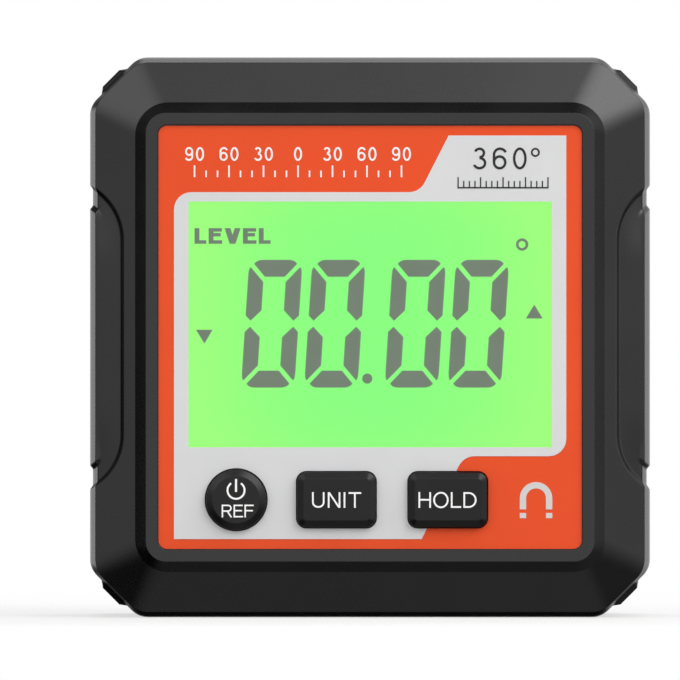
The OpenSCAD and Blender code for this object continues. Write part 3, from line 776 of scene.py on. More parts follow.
def soft_profile(bends: Sequence[Bend]) -> tuple[np.ndarray, np.ndarray]:
    """Rings along a closed profile of straight runs with parabolic roundings at its bends.

    A rounding starts and ends at its length before and after the bend, and the ring between them is
    (1-t)^2 start + 2t(1-t) bend + t^2 end.

    Args:
        bends: The bends in order.

    Returns:
        The rings, and for each ring the number of its bend, with a half added on the run after that bend.
    """
    rings = np.array([b.ring for b in bends], float)
    rows, owner, leave, arrive = [], [], [], []
    for i, bend in enumerate(bends):
        for ends, other in ((arrive, i - 1), (leave, (i + 1) % len(bends))):
            gap = rings[other] - rings[i]
            ends.append(rings[i] + gap * (bend.rounding / math.hypot(gap[0], gap[1] / 2)))
    for i, bend in enumerate(bends):
        if bend.rounding:
            t = np.linspace(0, 1, 7)[:, None]
            rows.append((1 - t) ** 2 * arrive[i] + 2 * t * (1 - t) * rings[i] + t ** 2 * leave[i])
        else:
            rows.append(rings[i][None])
        owner.append(np.full(len(rows[-1]), i))
        guard = 0.004 if bend.close_up else 0.02
        t = np.concatenate([[guard], np.linspace(0, 1, bend.run + 2)[1:-1], [1 - guard]])[:, None]
        rows.append(leave[i] + (arrive[(i + 1) % len(bends)] - leave[i]) * t)
        owner.append(np.full(len(t), i + 0.5))
    return np.concatenate(rows), np.concatenate(owner)


@dataclass(frozen=True)
class CaseForm:
    """Outer form of the case: stepped bezel, rim, chamfered corners, grooved grips and corner bumpers.

    An inset is a distance inside the case's sides, and a corner is a chamfer leg and an arc radius. From
    settle_from on, the walls of grooves and pads settle from their slopes at the front to the seam's slope.
    """

    corner_leg: float = 5.2
    corner_radius: float = 2.5
    wall: float = 2.0
    label_side: float = 45.4
    label_recess: float = 0.5
    label_corner: tuple[float, float] = (0.6, 1.0)
    frame_inset: float = 6.05
    frame_corner: tuple[float, float] = (1.26, 2.1)
    step_depth: float = 1.5
    step_inset: float = 4.9
    step_corner: tuple[float, float] = (2.1, 3.5)
    bevel_depth: float = 4.0
    bevel_inset: float = 0.6
    bevel_corner: tuple[float, float] = (4.45, 3.0)
    rim_depth: float = 5.5
    seam_depth: float = 21.0
    seam_chamfer: float = 0.12
    seam_inset: float = 0.42
    hollow_inset: float = 7.16
    settle_from: float = 7.0
    settle_over: float = 12.0
    level_over: float = 3.0
    grip_ends: tuple[float, float] = (9.4, 17.2)
    grip_stations: int = 72
    groove_depth: float = 0.34
    groove_reach: float = 3.4
    groove_half: float = 16.8
    groove_radius: float = 6.4
    groove_slope: float = 0.6
    seam_slope: float = 0.14
    pad_reach: float = 2.3
    pad_half: float = 14.6
    pad_radius: float = 4.7
    pad_slope: float = 0.5
    pad_fade: float = 3.0
    pad_fade_up: float = 7.5
    pad_overrun: float = 0.6
    crisp_from: float = 1.2
    crisp_over: float = 0.7
    bumper_height: float = 0.5
    bumper_foot: float = 1.95
    foot_settle: float = 0.05
    bumper_crest: float = 1.25
    crest_settle: float = 0.1
    bumper_front: float = 5.4
    bumper_slope: float = 0.7
    bumper_back: float = 25.75

    def ring(self, depth: float, inset: float, leg: float, radius: float) -> tuple[float, ...]:
        """Ring at a distance inside the case's sides."""
        side = CASE_SIDE - 2 * inset
        return depth, side, side, leg, radius

    def parallel(self, depth: float, inset: float) -> tuple[float, ...]:
        """Ring whose corners are moved in as far as its sides."""
        leg = self.corner_leg - inset * ROUND_LEG
        return self.ring(depth, inset, leg, max(self.corner_radius - inset, 0.3))

    def outline(self) -> Outline:
        """Stations round the case, close together where the grips' grooves and the bumpers' edges run.

        Returns:
            The outline.
        """
        half = CASE_SIDE / 2 - self.corner_leg - self.corner_radius * ARC_REACH
        low, high = self.grip_ends
        upper = np.concatenate([
            [half - 0.1],
            np.linspace(half - 1, high + 0.6, 6),
            np.linspace(low, high, self.grip_stations)[::-1],
            np.linspace(low - 1, 0.6, 6),
        ])
        heights = np.concatenate([upper, -upper[::-1]])
        side = (half - heights) / (2 * half)
        flat = np.concatenate([[0.003], np.linspace(0.04, 0.96, 13), [0.997]])
        reach = self.corner_leg / math.sqrt(2) - self.corner_radius * math.tan(math.pi / 8)
        edge = np.linspace(self.bumper_crest - 0.1, self.bumper_foot + 0.1, 9)
        right = np.concatenate([[0.3, 0.8], edge, [reach - 0.35, reach - 0.04]])
        chamfer = (np.concatenate([-right[::-1], right]) + reach) / (2 * reach)
        return Outline(8, [chamfer, flat, chamfer, side, chamfer, flat, chamfer, side])

    def _inside(self, x: np.ndarray, z: np.ndarray, reach: float, half: float, radius: float) -> np.ndarray:
        """Distance inside a grip outline that reaches in from the sides and has round inner corners.

        Args:
            x: Distance from the middle, sideways.
            z: Distance from the middle, upwards.
            reach: How far the outline reaches in from the side face.
            half: Half of its height.
            radius: Radius of its inner corners.

        Returns:
            The distance, negative outside.
        """
        a, b = x - (CASE_SIDE / 2 - reach), half - z
        corner = radius - np.hypot(radius - a, radius - b)
        return np.where((a < radius) & (b < radius), corner, np.minimum(a, b))

    def relief(self, points: np.ndarray) -> np.ndarray:
        """Height of bumpers above the skin less the depth of the grip grooves.

        Args:
            points: Points of the plain skin, in millimetres.

        Returns:
            The height of each point.
        """
        x, z = np.abs(points[..., 0]), np.abs(points[..., 2] - CASE_SIDE / 2)
        depth = points[..., 1] + CASE_DEPTH / 2
        outer = self._inside(x, z, self.groove_reach, self.groove_half, self.groove_radius)
        pad = self._inside(x, z, self.pad_reach, self.pad_half, self.pad_radius)
        settle = smooth_step((depth - self.settle_from) / self.settle_over)
        steep = self.groove_slope + (self.seam_slope - self.groove_slope) * settle
        crisp = smooth_step(pad / (self.pad_slope + (self.seam_slope - self.pad_slope) * settle) + 0.5)
        inward = CASE_SIDE / 2 - x
        faded = smooth_step((self.pad_reach - inward) / self.pad_fade + 0.5)
        faded = faded * smooth_step((self.pad_half + self.pad_overrun - z) / self.pad_fade_up)
        near = smooth_step((self.crisp_from - inward) / self.crisp_over)
        groove = smooth_step(outer / steep + 0.5) * (1 - near * crisp - (1 - near) * faded)
        along = np.abs(x - z) / math.sqrt(2)
        foot = self.bumper_foot - self.foot_settle * settle
        crest = self.bumper_crest + self.crest_settle * settle
        across = np.clip((foot - along) / (foot - crest), 0, 1)
        rise = smooth_step((depth - self.bumper_front) / self.bumper_slope)
        fall = smooth_step((self.bumper_back - depth) / self.bumper_slope)
        return self.bumper_height * across * rise * fall - self.groove_depth * groove

    def skin(self, bends: Sequence[Bend], raised: range) -> tuple[np.ndarray, np.ndarray]:
        """Closed shell: a profile of rings carried round the outline, with the relief along its normals.

        Args:
            bends: The closed profile.
            raised: Numbers of the bends whose rings carry the relief.

        Returns:
            Points, one row each, and quads.
        """
        rings, owner = soft_profile(bends)
        plain = self.outline().points(rings)
        along = np.roll(plain, -1, axis=1) - np.roll(plain, 1, axis=1)
        down = np.roll(plain, -1, axis=0) - np.roll(plain, 1, axis=0)
        normal = np.cross(along, down)
        depth = plain[..., 1] + CASE_DEPTH / 2
        normal[..., 1] *= 1 - smooth_step((depth - self.settle_from) / self.level_over)
        normal /= np.maximum(np.linalg.norm(normal, axis=2, keepdims=True), 1e-9)
        middle = np.array([0.0, 0.0, CASE_SIDE / 2])
        facing = np.sign(((plain - middle) * normal).sum(axis=2))[owner == raised[-1]].mean()
        carried = (owner >= raised[0]) & (owner <= raised[-1])
        lift = np.where(carried[:, None], self.relief(plain), 0.0)
        raised_points = plain + normal * (math.copysign(1, facing) * lift)[..., None]
        points = raised_points.reshape(-1, 3)
        return points, outward(points, grid_quads(*plain.shape[:2], True, True))


def round_bar(middle: Sequence[float], radius: float, length: float, axis: int) -> tuple:
    """Closed round bar whose two ends are single faces.

    Args:
        middle: Centre of its first end, in millimetres.
        radius: Its radius.
        length: Its length along the axis.
        axis: Number of that axis.

    Returns:
        Points and faces.
    """
    steps = 72
    turn = np.linspace(0, 2 * math.pi, steps, endpoint=False)
    ring = np.zeros((2, steps, 3))
    ring[..., (axis + 1) % 3] = radius * np.cos(turn)
    ring[..., (axis + 2) % 3] = radius * np.sin(turn)
    ring[1, :, axis] = length
    sides = grid_quads(2, steps, False, True)
    numbers = np.arange(steps)
    faces = [*sides.tolist(), numbers[::-1].tolist(), (numbers + steps).tolist()]
    return (ring + np.asarray(middle, float)).reshape(-1, 3), faces


def join_solids(solids: Sequence[tuple]) -> tuple[np.ndarray, list]:
    """Puts the points and faces of several solids together.

    Args:
        solids: Points and faces of each solid.

    Returns:
        All points and all faces.
    """
    points, faces, count = [], [], 0
    for part_points, part_faces in solids:
        points.append(part_points)
        faces.extend([[n + count for n in face] for face in part_faces])
        count += len(part_points)
    return np.concatenate(points), faces


def pierced_slab(x: np.ndarray, z: np.ndarray, open_cells: np.ndarray, front: float, back: float) -> tuple:
    """Slab on a grid of lines with some of its cells left open.

    Front, back and walls are found from the map of open cells: a wall stands wherever a closed cell meets an
    open one or the rim.

    Args:
        x: Places of the upright lines.
        z: Heights of the level lines.
        open_cells: True for each cell that is a hole, x first.
        front: Depth of its front.
        back: Depth of its back.

    Returns:
        Points and quads.
    """
    rows, columns = len(x), len(z)
    number = np.arange(rows * columns).reshape(rows, columns)
    layer = rows * columns
    solid = np.pad(~open_cells, 1)
    i, j = np.nonzero(~open_cells)
    a, b, c, d = number[i, j], number[i + 1, j], number[i + 1, j + 1], number[i, j + 1]
    quads = [np.stack([a, b, c, d], 1), np.stack([d, c, b, a], 1) + layer]
    for shift, first, second in (((0, -1), a, b), ((1, 0), b, c), ((0, 1), c, d), ((-1, 0), d, a)):
        bare = ~solid[i + 1 + shift[0], j + 1 + shift[1]]
        quads.append(np.stack([second, first, first + layer, second + layer], 1)[bare])
    grid_x, grid_z = np.meshgrid(x, z, indexing="ij")
    flat = [np.stack([grid_x, 0 * grid_x + depth, grid_z], 2).reshape(-1, 3) for depth in (front, back)]
    points = np.concatenate(flat) + np.array([0.0, -CASE_DEPTH / 2, CASE_SIDE / 2])
    used, places = np.unique(np.concatenate(quads), return_inverse=True)
    return points[used], outward(points[used], places.reshape(-1, 4)).tolist()


@dataclass
class FrontHousing:
    """The front moulding: bezel, sides, front wall behind the label and pockets for the magnets."""

    form: CaseForm
    finish: MouldedPlastic
    caps: "Sequence[KeyCap]"
    key_gap: float = 0.15
    magnet_x: tuple[float, ...] = (-19.5, -6.5, 6.5, 19.5)
    magnet_depth: float = 14.0
    pocket_radius: float = 4.05
    pocket_top: float = 2.65
    cutter_start: float = -1.0
    wall_side: float = 43.4
    lens_seat: float = 1.2
    lens: tuple[float, float] = (41.4, 28.85)
    aperture: tuple[float, float] = (39.6, 27.05)
    window_height: float = 1.375

    def bends(self) -> list[Bend]:
        """Closed profile from the label recess over bezel and sides to the seam and back inside.

        Returns:
            The bends of the profile.
        """
        form = self.form
        inner = (CASE_SIDE - self.wall_side) / 2
        recess = (CASE_SIDE - form.label_side) / 2
        back = form.label_recess + form.wall
        return [
            Bend(form.ring(form.label_recess, inner, *form.label_corner)),
            Bend(form.ring(form.label_recess, recess, *form.label_corner)),
            Bend(form.ring(0.0, recess, *form.label_corner), rounding=0.06),
            Bend(form.ring(0.0, form.frame_inset, *form.frame_corner), rounding=0.03, run=2),
            Bend(form.ring(form.step_depth, form.step_inset, *form.step_corner), 0.05, 40, close_up=True),
            Bend(form.ring(form.bevel_depth, form.bevel_inset, *form.bevel_corner), rounding=0.05, run=8),
            Bend(form.parallel(form.rim_depth, 0.0), rounding=0.55, run=22, close_up=True),
            Bend(form.parallel(form.seam_depth - form.seam_chamfer, 0.0), rounding=0.06),
            Bend(form.parallel(form.seam_depth, form.seam_inset)),
            Bend(form.parallel(form.seam_depth, form.wall)),
            Bend(form.parallel(form.rim_depth, form.wall)),
            Bend(form.ring(back, form.hollow_inset, *form.frame_corner)),
            Bend(form.ring(back, inner, *form.label_corner)),
        ]

    def shell(self) -> bpy.types.Object:
        """Builds the moulding without its front wall and cuts the magnets' pockets.

        Returns:
            The new piece.
        """
        step_to_seam = range(4, 8)
        points, quads = self.form.skin(self.bends(), step_to_seam)
        shell = put_mesh("front_housing_shell", points, quads.tolist())
        y, start = self.magnet_depth - CASE_DEPTH / 2, self.cutter_start
        length = self.pocket_top - start
        bars = [round_bar((x, y, start), self.pocket_radius, length, 2) for x in self.magnet_x]
        return carve(shell, put_mesh("pocket_cutter", *join_solids(bars)))

    def front_wall(self) -> bpy.types.Object:
        """Builds the wall behind the label in two layers: one round the lens and one round the opening.

        Returns:
            The new piece.
        """
        form = self.form
        half = self.wall_side / 2
        middle = form.label_recess + self.lens_seat
        gap = 2 * self.key_gap
        key_holes = [(cap.x, cap.row, cap.width + gap, cap.height + gap) for cap in self.caps]
        layers = []
        for size, front, back in (
            (self.lens, form.label_recess, middle), (self.aperture, middle, form.label_recess + form.wall)
        ):
            holes = [(0.0, self.window_height, *size), *key_holes]
            x = np.unique([-half, half, *(px + s * w / 2 for px, _, w, _ in holes for s in (-1, 1))])
            z = np.unique([-half, half, *(pz + s * h / 2 for _, pz, _, h in holes for s in (-1, 1))])
            mid_x, mid_z = np.meshgrid((x[1:] + x[:-1]) / 2, (z[1:] + z[:-1]) / 2, indexing="ij")
            open_cells = np.zeros(mid_x.shape, bool)
            for px, pz, w, h in holes:
                open_cells |= (abs(mid_x - px) < w / 2) & (abs(mid_z - pz) < h / 2)
            layers.append(pierced_slab(x, z, open_cells, front, back))
        return put_mesh("front_housing_wall", *join_solids(layers))

    def build(self) -> None:
        """Builds and dresses the moulding."""
        material = self.finish.material()
        for piece in (self.shell(), self.front_wall()):
            seat(piece, material, Body.CASE, "case_black", "front_housing")


# Printed marks


Stroke = tuple[np.ndarray, np.ndarray, bool]


def bar(x0: float, z0: float, x1: float, z1: float) -> Stroke:
    """Upright or level bar between two corners."""
    return np.array([[x0, z1], [x1, z1]]), np.array([[x0, z0], [x1, z0]]), False


def slant(x0: float, x1: float, width: float, z0: float = 0.0, z1: float = 1.0) -> Stroke:
    """Slanted bar with level ends, from x0 at its foot to x1 at its head, measured at its left edge."""
    foot, head = np.array([x0, z0]), np.array([x1, z1])
    return np.array([foot, head]), np.array([foot + [width, 0], head + [width, 0]]), False


def ribbon(path: np.ndarray, width: float, closed: bool = False) -> Stroke:
    """Ribbon of constant width: each point of its path moved to both sides by half the width.

    Args:
        path: Points of its middle line.
        width: Its width.
        closed: Whether its end joins its start.

    Returns:
        The ribbon's two edges.
    """
    if closed:
        along = np.roll(path, -1, axis=0) - np.roll(path, 1, axis=0)
    else:
        along = np.gradient(path, axis=0)
    along /= np.linalg.norm(along, axis=1, keepdims=True)
    side = np.stack([-along[:, 1], along[:, 0]], axis=1) * width / 2
    return path + side, path - side, closed


def arc(x: float, z: float, rx: float, rz: float, start: float, end: float, steps: int = 24) -> np.ndarray:
    """Points of an elliptic arc about (x, z) between two angles in degrees."""
    turn = np.radians(np.linspace(start, end, steps))
    return np.stack([x + rx * np.cos(turn), z + rz * np.sin(turn)], axis=1)


def ring(x: float, z: float, rx: float, rz: float, width: float) -> Stroke:
    """Closed elliptic ring, measured to its outer edge."""
    path = arc(x, z, rx - width / 2, rz - width / 2, 0, 360, 49)[:-1]
    return ribbon(path, width, True)


def arrowhead(left: float, right: float, base: float, middle: float, tip: float) -> Stroke:
    """Triangle from a level base to a tip that is blunt, so that no edge has a length of zero."""
    lefts, rights = [[left, base], [middle - TIP_HALF, tip]], [[right, base], [middle + TIP_HALF, tip]]
    return np.array(lefts), np.array(rights), False


class Lettering:
    """Plain upright capitals and numerals made of bars and ribbons. A unit is the height of a capital."""

    def __init__(self, weight: float = 0.13, breadth: float = 1.0, spacing: float = 0.2) -> None:
        """Keeps the stroke width, the stretch sideways and the gap between letters, in capital heights."""
        self.weight, self.breadth, self.spacing = weight, breadth, spacing
        self.level = weight if weight < 0.2 else 0.72 * weight

    def _bowl(self, x: float, width: float, low: float, high: float) -> Stroke:
        """Ribbon that runs out from a stem, round a half turn and back.

        Args:
            x: Place of the stem's edge.
            width: How far the bowl reaches.
            low: Height of its foot.
            high: Height of its head.

        Returns:
            The stroke.
        """
        t = self.level
        middle, half = (low + high) / 2, (high - low - t) / 2
        reach = max(width - half - self.weight / 2, x)
        turn = arc(reach, middle, width - self.weight / 2 - reach, half, 90, -90)
        path = np.concatenate([[[x, high - t / 2]], turn, [[x, low + t / 2]]])
        return ribbon(path, (t + self.weight) / 2)

    def glyph(self, sign: str) -> tuple[list[Stroke], float]:
        """Strokes of one sign.

        Args:
            sign: A capital letter or a numeral.

        Returns:
            Its strokes and its width.
        """
        t, b, lv = self.weight, self.breadth, self.level
        wide, lean = 0.80 * b, 1.2 * t
        stem, far_stem = bar(0, 0, t, 1), bar(wide - t, 0, wide, 1)
        arms = [stem, bar(t, 1 - lv, 0.74 * b, 1), bar(t, 0.47, 0.68 * b, 0.47 + lv)]
        cup = arc(wide / 2, 0.36, wide / 2 - t / 2, 0.36 - t / 2, 180, 360)
        cup = np.concatenate([[[t / 2, 1.0]], cup, [[wide - t / 2, 1.0]]])
        leg = slant(0.84 * b - 1.15 * t, 0.46 * b - 0.5 * t, lean, 0, 0.46)
        point = 0.45 * b - 0.6 * t
        upper = arc(0.28 * b, 0.755, 0.25 * b - t / 2, 0.255 - t / 2, 160, -90)
        lower = arc(0.28 * b, 0.285, 0.3 * b - t / 2, 0.295 - t / 2, 90, -160)
        hook = arc(0.32 * b, 0.67, 0.32 * b - t / 2, 0.34 - t / 2, 25, 180)
        hook = np.concatenate([hook, [[t / 2, 0.33]]])
        six = [ring(0.3 * b, 0.32, 0.3 * b, 0.33, t), ribbon(hook, t)]
        turn = np.array([0.6 * b, 1.0])
        return {
            "U": ([ribbon(cup, t)], wide),
            "N": ([stem, far_stem, slant(wide - lean, 0, lean)], wide),
            "I": ([stem], t),
            "T": ([bar(0, 1 - lv, wide, 1), bar(wide / 2 - t / 2, 0, wide / 2 + t / 2, 1 - lv)], wide),
            "H": ([stem, far_stem, bar(t, 0.46, wide - t, 0.46 + lv)], wide),
            "O": ([ring(0.49 * b, 0.5, 0.49 * b, 0.52, t)], 0.98 * b),
            "L": ([stem, bar(t, 0, 0.66 * b, lv)], 0.66 * b),
            "D": ([stem, self._bowl(t, 0.84 * b, 0, 1)], 0.84 * b),
            "R": ([stem, self._bowl(t, 0.80 * b, 0.44, 1), leg], 0.84 * b),
            "E": ([*arms, bar(t, 0, 0.76 * b, lv)], 0.76 * b),
            "F": (arms, 0.76 * b),
            "V": ([slant(point, 0, lean), slant(point, 0.9 * b - lean, lean)], 0.9 * b),
            "0": ([ring(0.3 * b, 0.5, 0.3 * b, 0.51, t)], 0.6 * b),
            "3": ([ribbon(upper, t), ribbon(lower, t)], 0.58 * b),
            "6": (six, 0.6 * b),
            "9": ([(turn - left, turn - right, closed) for left, right, closed in six], 0.6 * b),
        }[sign]

    def line(
        self, words: str, left: float, foot: float, height: float, width: float | None = None
    ) -> list[Stroke]:
        """Strokes of a line of signs.

        Args:
            words: The signs.
            left: Place of the line's left edge, right of the middle of the case.
            foot: Height of its foot above the middle of the case.
            height: Height of a capital.
            width: Width that the line is spread to, if given.

        Returns:
            The strokes, in millimetres.
        """
        glyphs = [self.glyph(sign) for sign in words]
        inked = sum(w for _, w in glyphs) * height
        gap = self.spacing * height
        if width is not None and len(glyphs) > 1:
            gap = (width - inked) / (len(glyphs) - 1)
        strokes, x = [], left
        for parts, glyph_width in glyphs:
            at = np.array([x, foot])
            strokes += [(at + a * height, at + b * height, closed) for a, b, closed in parts]
            x += glyph_width * height + gap
        return strokes

    def width(self, words: str, height: float) -> float:
        """Width of a line of signs."""
        widths = [self.glyph(sign)[1] for sign in words]
        return height * (sum(widths) + self.spacing * (len(widths) - 1))


def print_marks(
    name: str, strokes: Sequence[Stroke], face: float, lift: float = PRINT_LIFT
) -> bpy.types.Object:
    """Thin solids over a face: each stroke's two edges, carried from above the face to just under it.

    Strokes that cross stand at slightly different heights, so that no two faces lie in one plane.

    Args:
        name: The piece's name.
        strokes: The strokes, drawn as seen from the front.
        face: Depth of the face.
        lift: Height of the print above it.

    Returns:
        The new piece.
    """
    solids = []
    middle = np.array([0.0, -CASE_DEPTH / 2, CASE_SIDE / 2])
    for i, (left, right, closed) in enumerate(strokes):
        rows = []
        top = face - lift - 0.002 * (i % 4)
        for edge, depth in ((left, top), (right, top), (right, face + PRINT_ROOT), (left, face + PRINT_ROOT)):
            rows.append(np.stack([edge[:, 0], 0 * edge[:, 0] + depth, edge[:, 1]], axis=1) + middle)
        points = np.stack(rows, axis=1).reshape(-1, 3)
        quads = grid_quads(len(left), 4, closed, True)
        if not closed:
            last = 4 * (len(left) - 1)
            quads = np.concatenate([quads, [[3, 2, 1, 0], [last, last + 1, last + 2, last + 3]]])
        solids.append((points, outward(points, quads).tolist()))
    return put_mesh(name, *join_solids(solids))


def tick_row(x: np.ndarray, foot: float, heads: np.ndarray, width: float) -> list[Stroke]:
    """Upright ticks at places x, from a common foot to their own heads."""
    return [bar(a - width / 2, foot, a + width / 2, b) for a, b in zip(x.tolist(), heads.tolist())]


@dataclass
class FaceLabel:
    """The printed film with its grey field, its angle scale, its numeral and its magnet sign."""

    orange: PrintedFilm
    grey: PrintedFilm
    white_ink: PrintedFilm
    grey_ink: PrintedFilm
    dark_ink: PrintedFilm
    scale_left: float = -18.75
    scale_right: float = 3.35
    scale_foot: float = 17.1
    scale_head: float = 18.35
    scale_short: float = 0.55
    scale_width: float = 0.17
    scale_numerals: tuple[str, ...] = ("90", "60", "30", "0", "30", "60", "90")
    numeral_foot: float = 18.85
    numeral_height: float = 1.45
    turn_left: float = 11.0
    turn_foot: float = 17.95
    turn_height: float = 2.3
    degree: tuple[float, ...] = (17.65, 19.75, 0.48, 0.48, 0.19)
    rule_left: float = 9.4
    rule_pitch: float = 0.6
    rule_ticks: int = 17
    rule_foot: float = 16.05
    rule_tall: float = 1.05
    rule_short: float = 0.65
    rule_width: float = 0.13
    rule_base: float = 0.15
    magnet_x: float = 17.72
    magnet_top: float = -15.46
    magnet_radius: float = 1.736
    magnet_width: float = 0.68
    magnet_foot: float = -18.38
    tip_top: float = 0.38
    tip_foot: float = 0.94

    def scale(self) -> list[Stroke]:
        """Angle scale: a tick every ten degrees, a longer one and a numeral every thirty.

        Returns:
            The strokes.
        """
        letters = Lettering(0.14)
        steps = 3 * (len(self.scale_numerals) - 1)
        number = np.arange(steps + 1)
        x = self.scale_left + (self.scale_right - self.scale_left) * number / steps
        tall = number % 3 == 0
        heads = np.where(tall, self.scale_head, self.scale_head - self.scale_short)
        strokes = tick_row(x, self.scale_foot, heads, self.scale_width)
        for place, words in zip(x[tall].tolist(), self.scale_numerals):
            left = place - letters.width(words, self.numeral_height) / 2
            strokes += letters.line(words, left, self.numeral_foot, self.numeral_height)
        return strokes

    def tab_marks(self) -> list[Stroke]:
        """Full turn in degrees over a short ruled scale.

        Returns:
            The strokes.
        """
        strokes = Lettering(0.115, 1.06, 0.3).line("360", self.turn_left, self.turn_foot, self.turn_height)
        number, half = np.arange(self.rule_ticks), self.rule_width / 2
        x = self.rule_left + self.rule_pitch * number
        heads = self.rule_foot + np.where(number % 4 == 0, self.rule_tall, self.rule_short)
        base = bar(x[0] - half, self.rule_foot - self.rule_base, x[-1] + half, self.rule_foot)
        return [*strokes, ring(*self.degree), *tick_row(x, self.rule_foot, heads, self.rule_width), base]

    def magnet_sign(self) -> list[Stroke]:
        """Horseshoe magnet: a bent ribbon with straight legs and two separate tips.

        Returns:
            The strokes.
        """
        half, foot = self.magnet_width / 2, self.magnet_foot
        r = self.magnet_radius - half
        legs = (self.magnet_x - r, self.magnet_x + r)
        curve = arc(self.magnet_x, self.magnet_top - self.magnet_radius, r, r, 180, 0, 32)
        path = np.concatenate([[[legs[0], foot]], curve, [[legs[1], foot]]])
        tips = [bar(x - half, foot - self.tip_foot, x + half, foot - self.tip_top) for x in legs]
        return [ribbon(path, self.magnet_width), *tips]

    def build(self) -> None:
        """Dresses the films and prints their marks."""
        dress_nodes(self.orange.material(), "front_label")
        dress_nodes(self.grey.material(), "label_field")
        for name, strokes, face, ink in (
            ("label_scale", self.scale(), LABEL_FACE, self.white_ink),
            ("label_magnet_sign", self.magnet_sign(), LABEL_FACE, self.grey_ink),
            ("label_tab_marks", self.tab_marks(), FIELD_FACE, self.dark_ink),
        ):
            seat(print_marks(name, strokes, face), ink.material(), Body.CASE)


@dataclass
class DisplayUnit:
    """The lit display behind its clear window, with its small signs."""

    panel: LitPanel
    ink: LitInk
    window: ClearPlastic
    word_left: float = -18.77
    word_foot: float = 10.0
    word_height: float = 1.67
    word_width: float = 8.13
    degree: tuple[float, ...] = (16.26, 9.92, 0.66, 0.66, 0.29)
    arrow_up: tuple[float, ...] = (16.66, 18.46, 2.01, 17.56, 3.48)
    arrow_down: tuple[float, ...] = (-18.61, -16.85, 0.80, -17.71, -0.66)
    sign_lift: float = 0.05

    def signs(self) -> list[Stroke]:
        """Word above the digits, degree ring and the two arrowheads.

        Returns:
            The strokes.
        """
        letters = Lettering(0.31, 1.14)
        word = letters.line("LEVEL", self.word_left, self.word_foot, self.word_height, self.word_width)
        return [*word, ring(*self.degree), arrowhead(*self.arrow_up), arrowhead(*self.arrow_down)]

    def build(self) -> None:
        """Dresses panel, digits and window, and adds the signs."""
        dress_nodes(self.panel.material(), "lcd_panel")
        ink = self.ink.material()
        dress_nodes(ink, "lcd_segments")
        dress_nodes(self.window.material(), "display_window")
        signs = print_marks("lcd_signs", self.signs(), GLASS_FACE, self.sign_lift)
        seat(signs, ink, Body.CASE, "lcd_dark")


# Keys


@dataclass(frozen=True)
class Legend:
    """A word on a key: its signs, its left edge, the width that it is spread to, its foot and its height."""

    words: str
    left: float
    width: float
    foot: float = -18.2
    height: float = 1.67
    letters: Lettering = Lettering(0.108)

    def strokes(self) -> list[Stroke]:
        """Strokes of the word."""
        return self.letters.line(self.words, self.left, self.foot, self.height, self.width)


@dataclass(frozen=True)
class PowerLegend(Legend):
    """The power sign, an open ring with an upright bar, over a short word."""

    ring_x: float = -14.31
    ring_height: float = -16.33
    ring_radius: float = 0.91
    ring_turn: tuple[float, float] = (125.0, 415.0)
    ring_width: float = 0.2
    upright: tuple[float, ...] = (-14.42, -16.5, -14.2, -15.12)

    def strokes(self) -> list[Stroke]:
        """Strokes of the sign and the word.

        Returns:
            The strokes.
        """
        curve = arc(self.ring_x, self.ring_height, self.ring_radius, self.ring_radius, *self.ring_turn, 40)
        return [ribbon(curve, self.ring_width), bar(*self.upright), *super().strokes()]


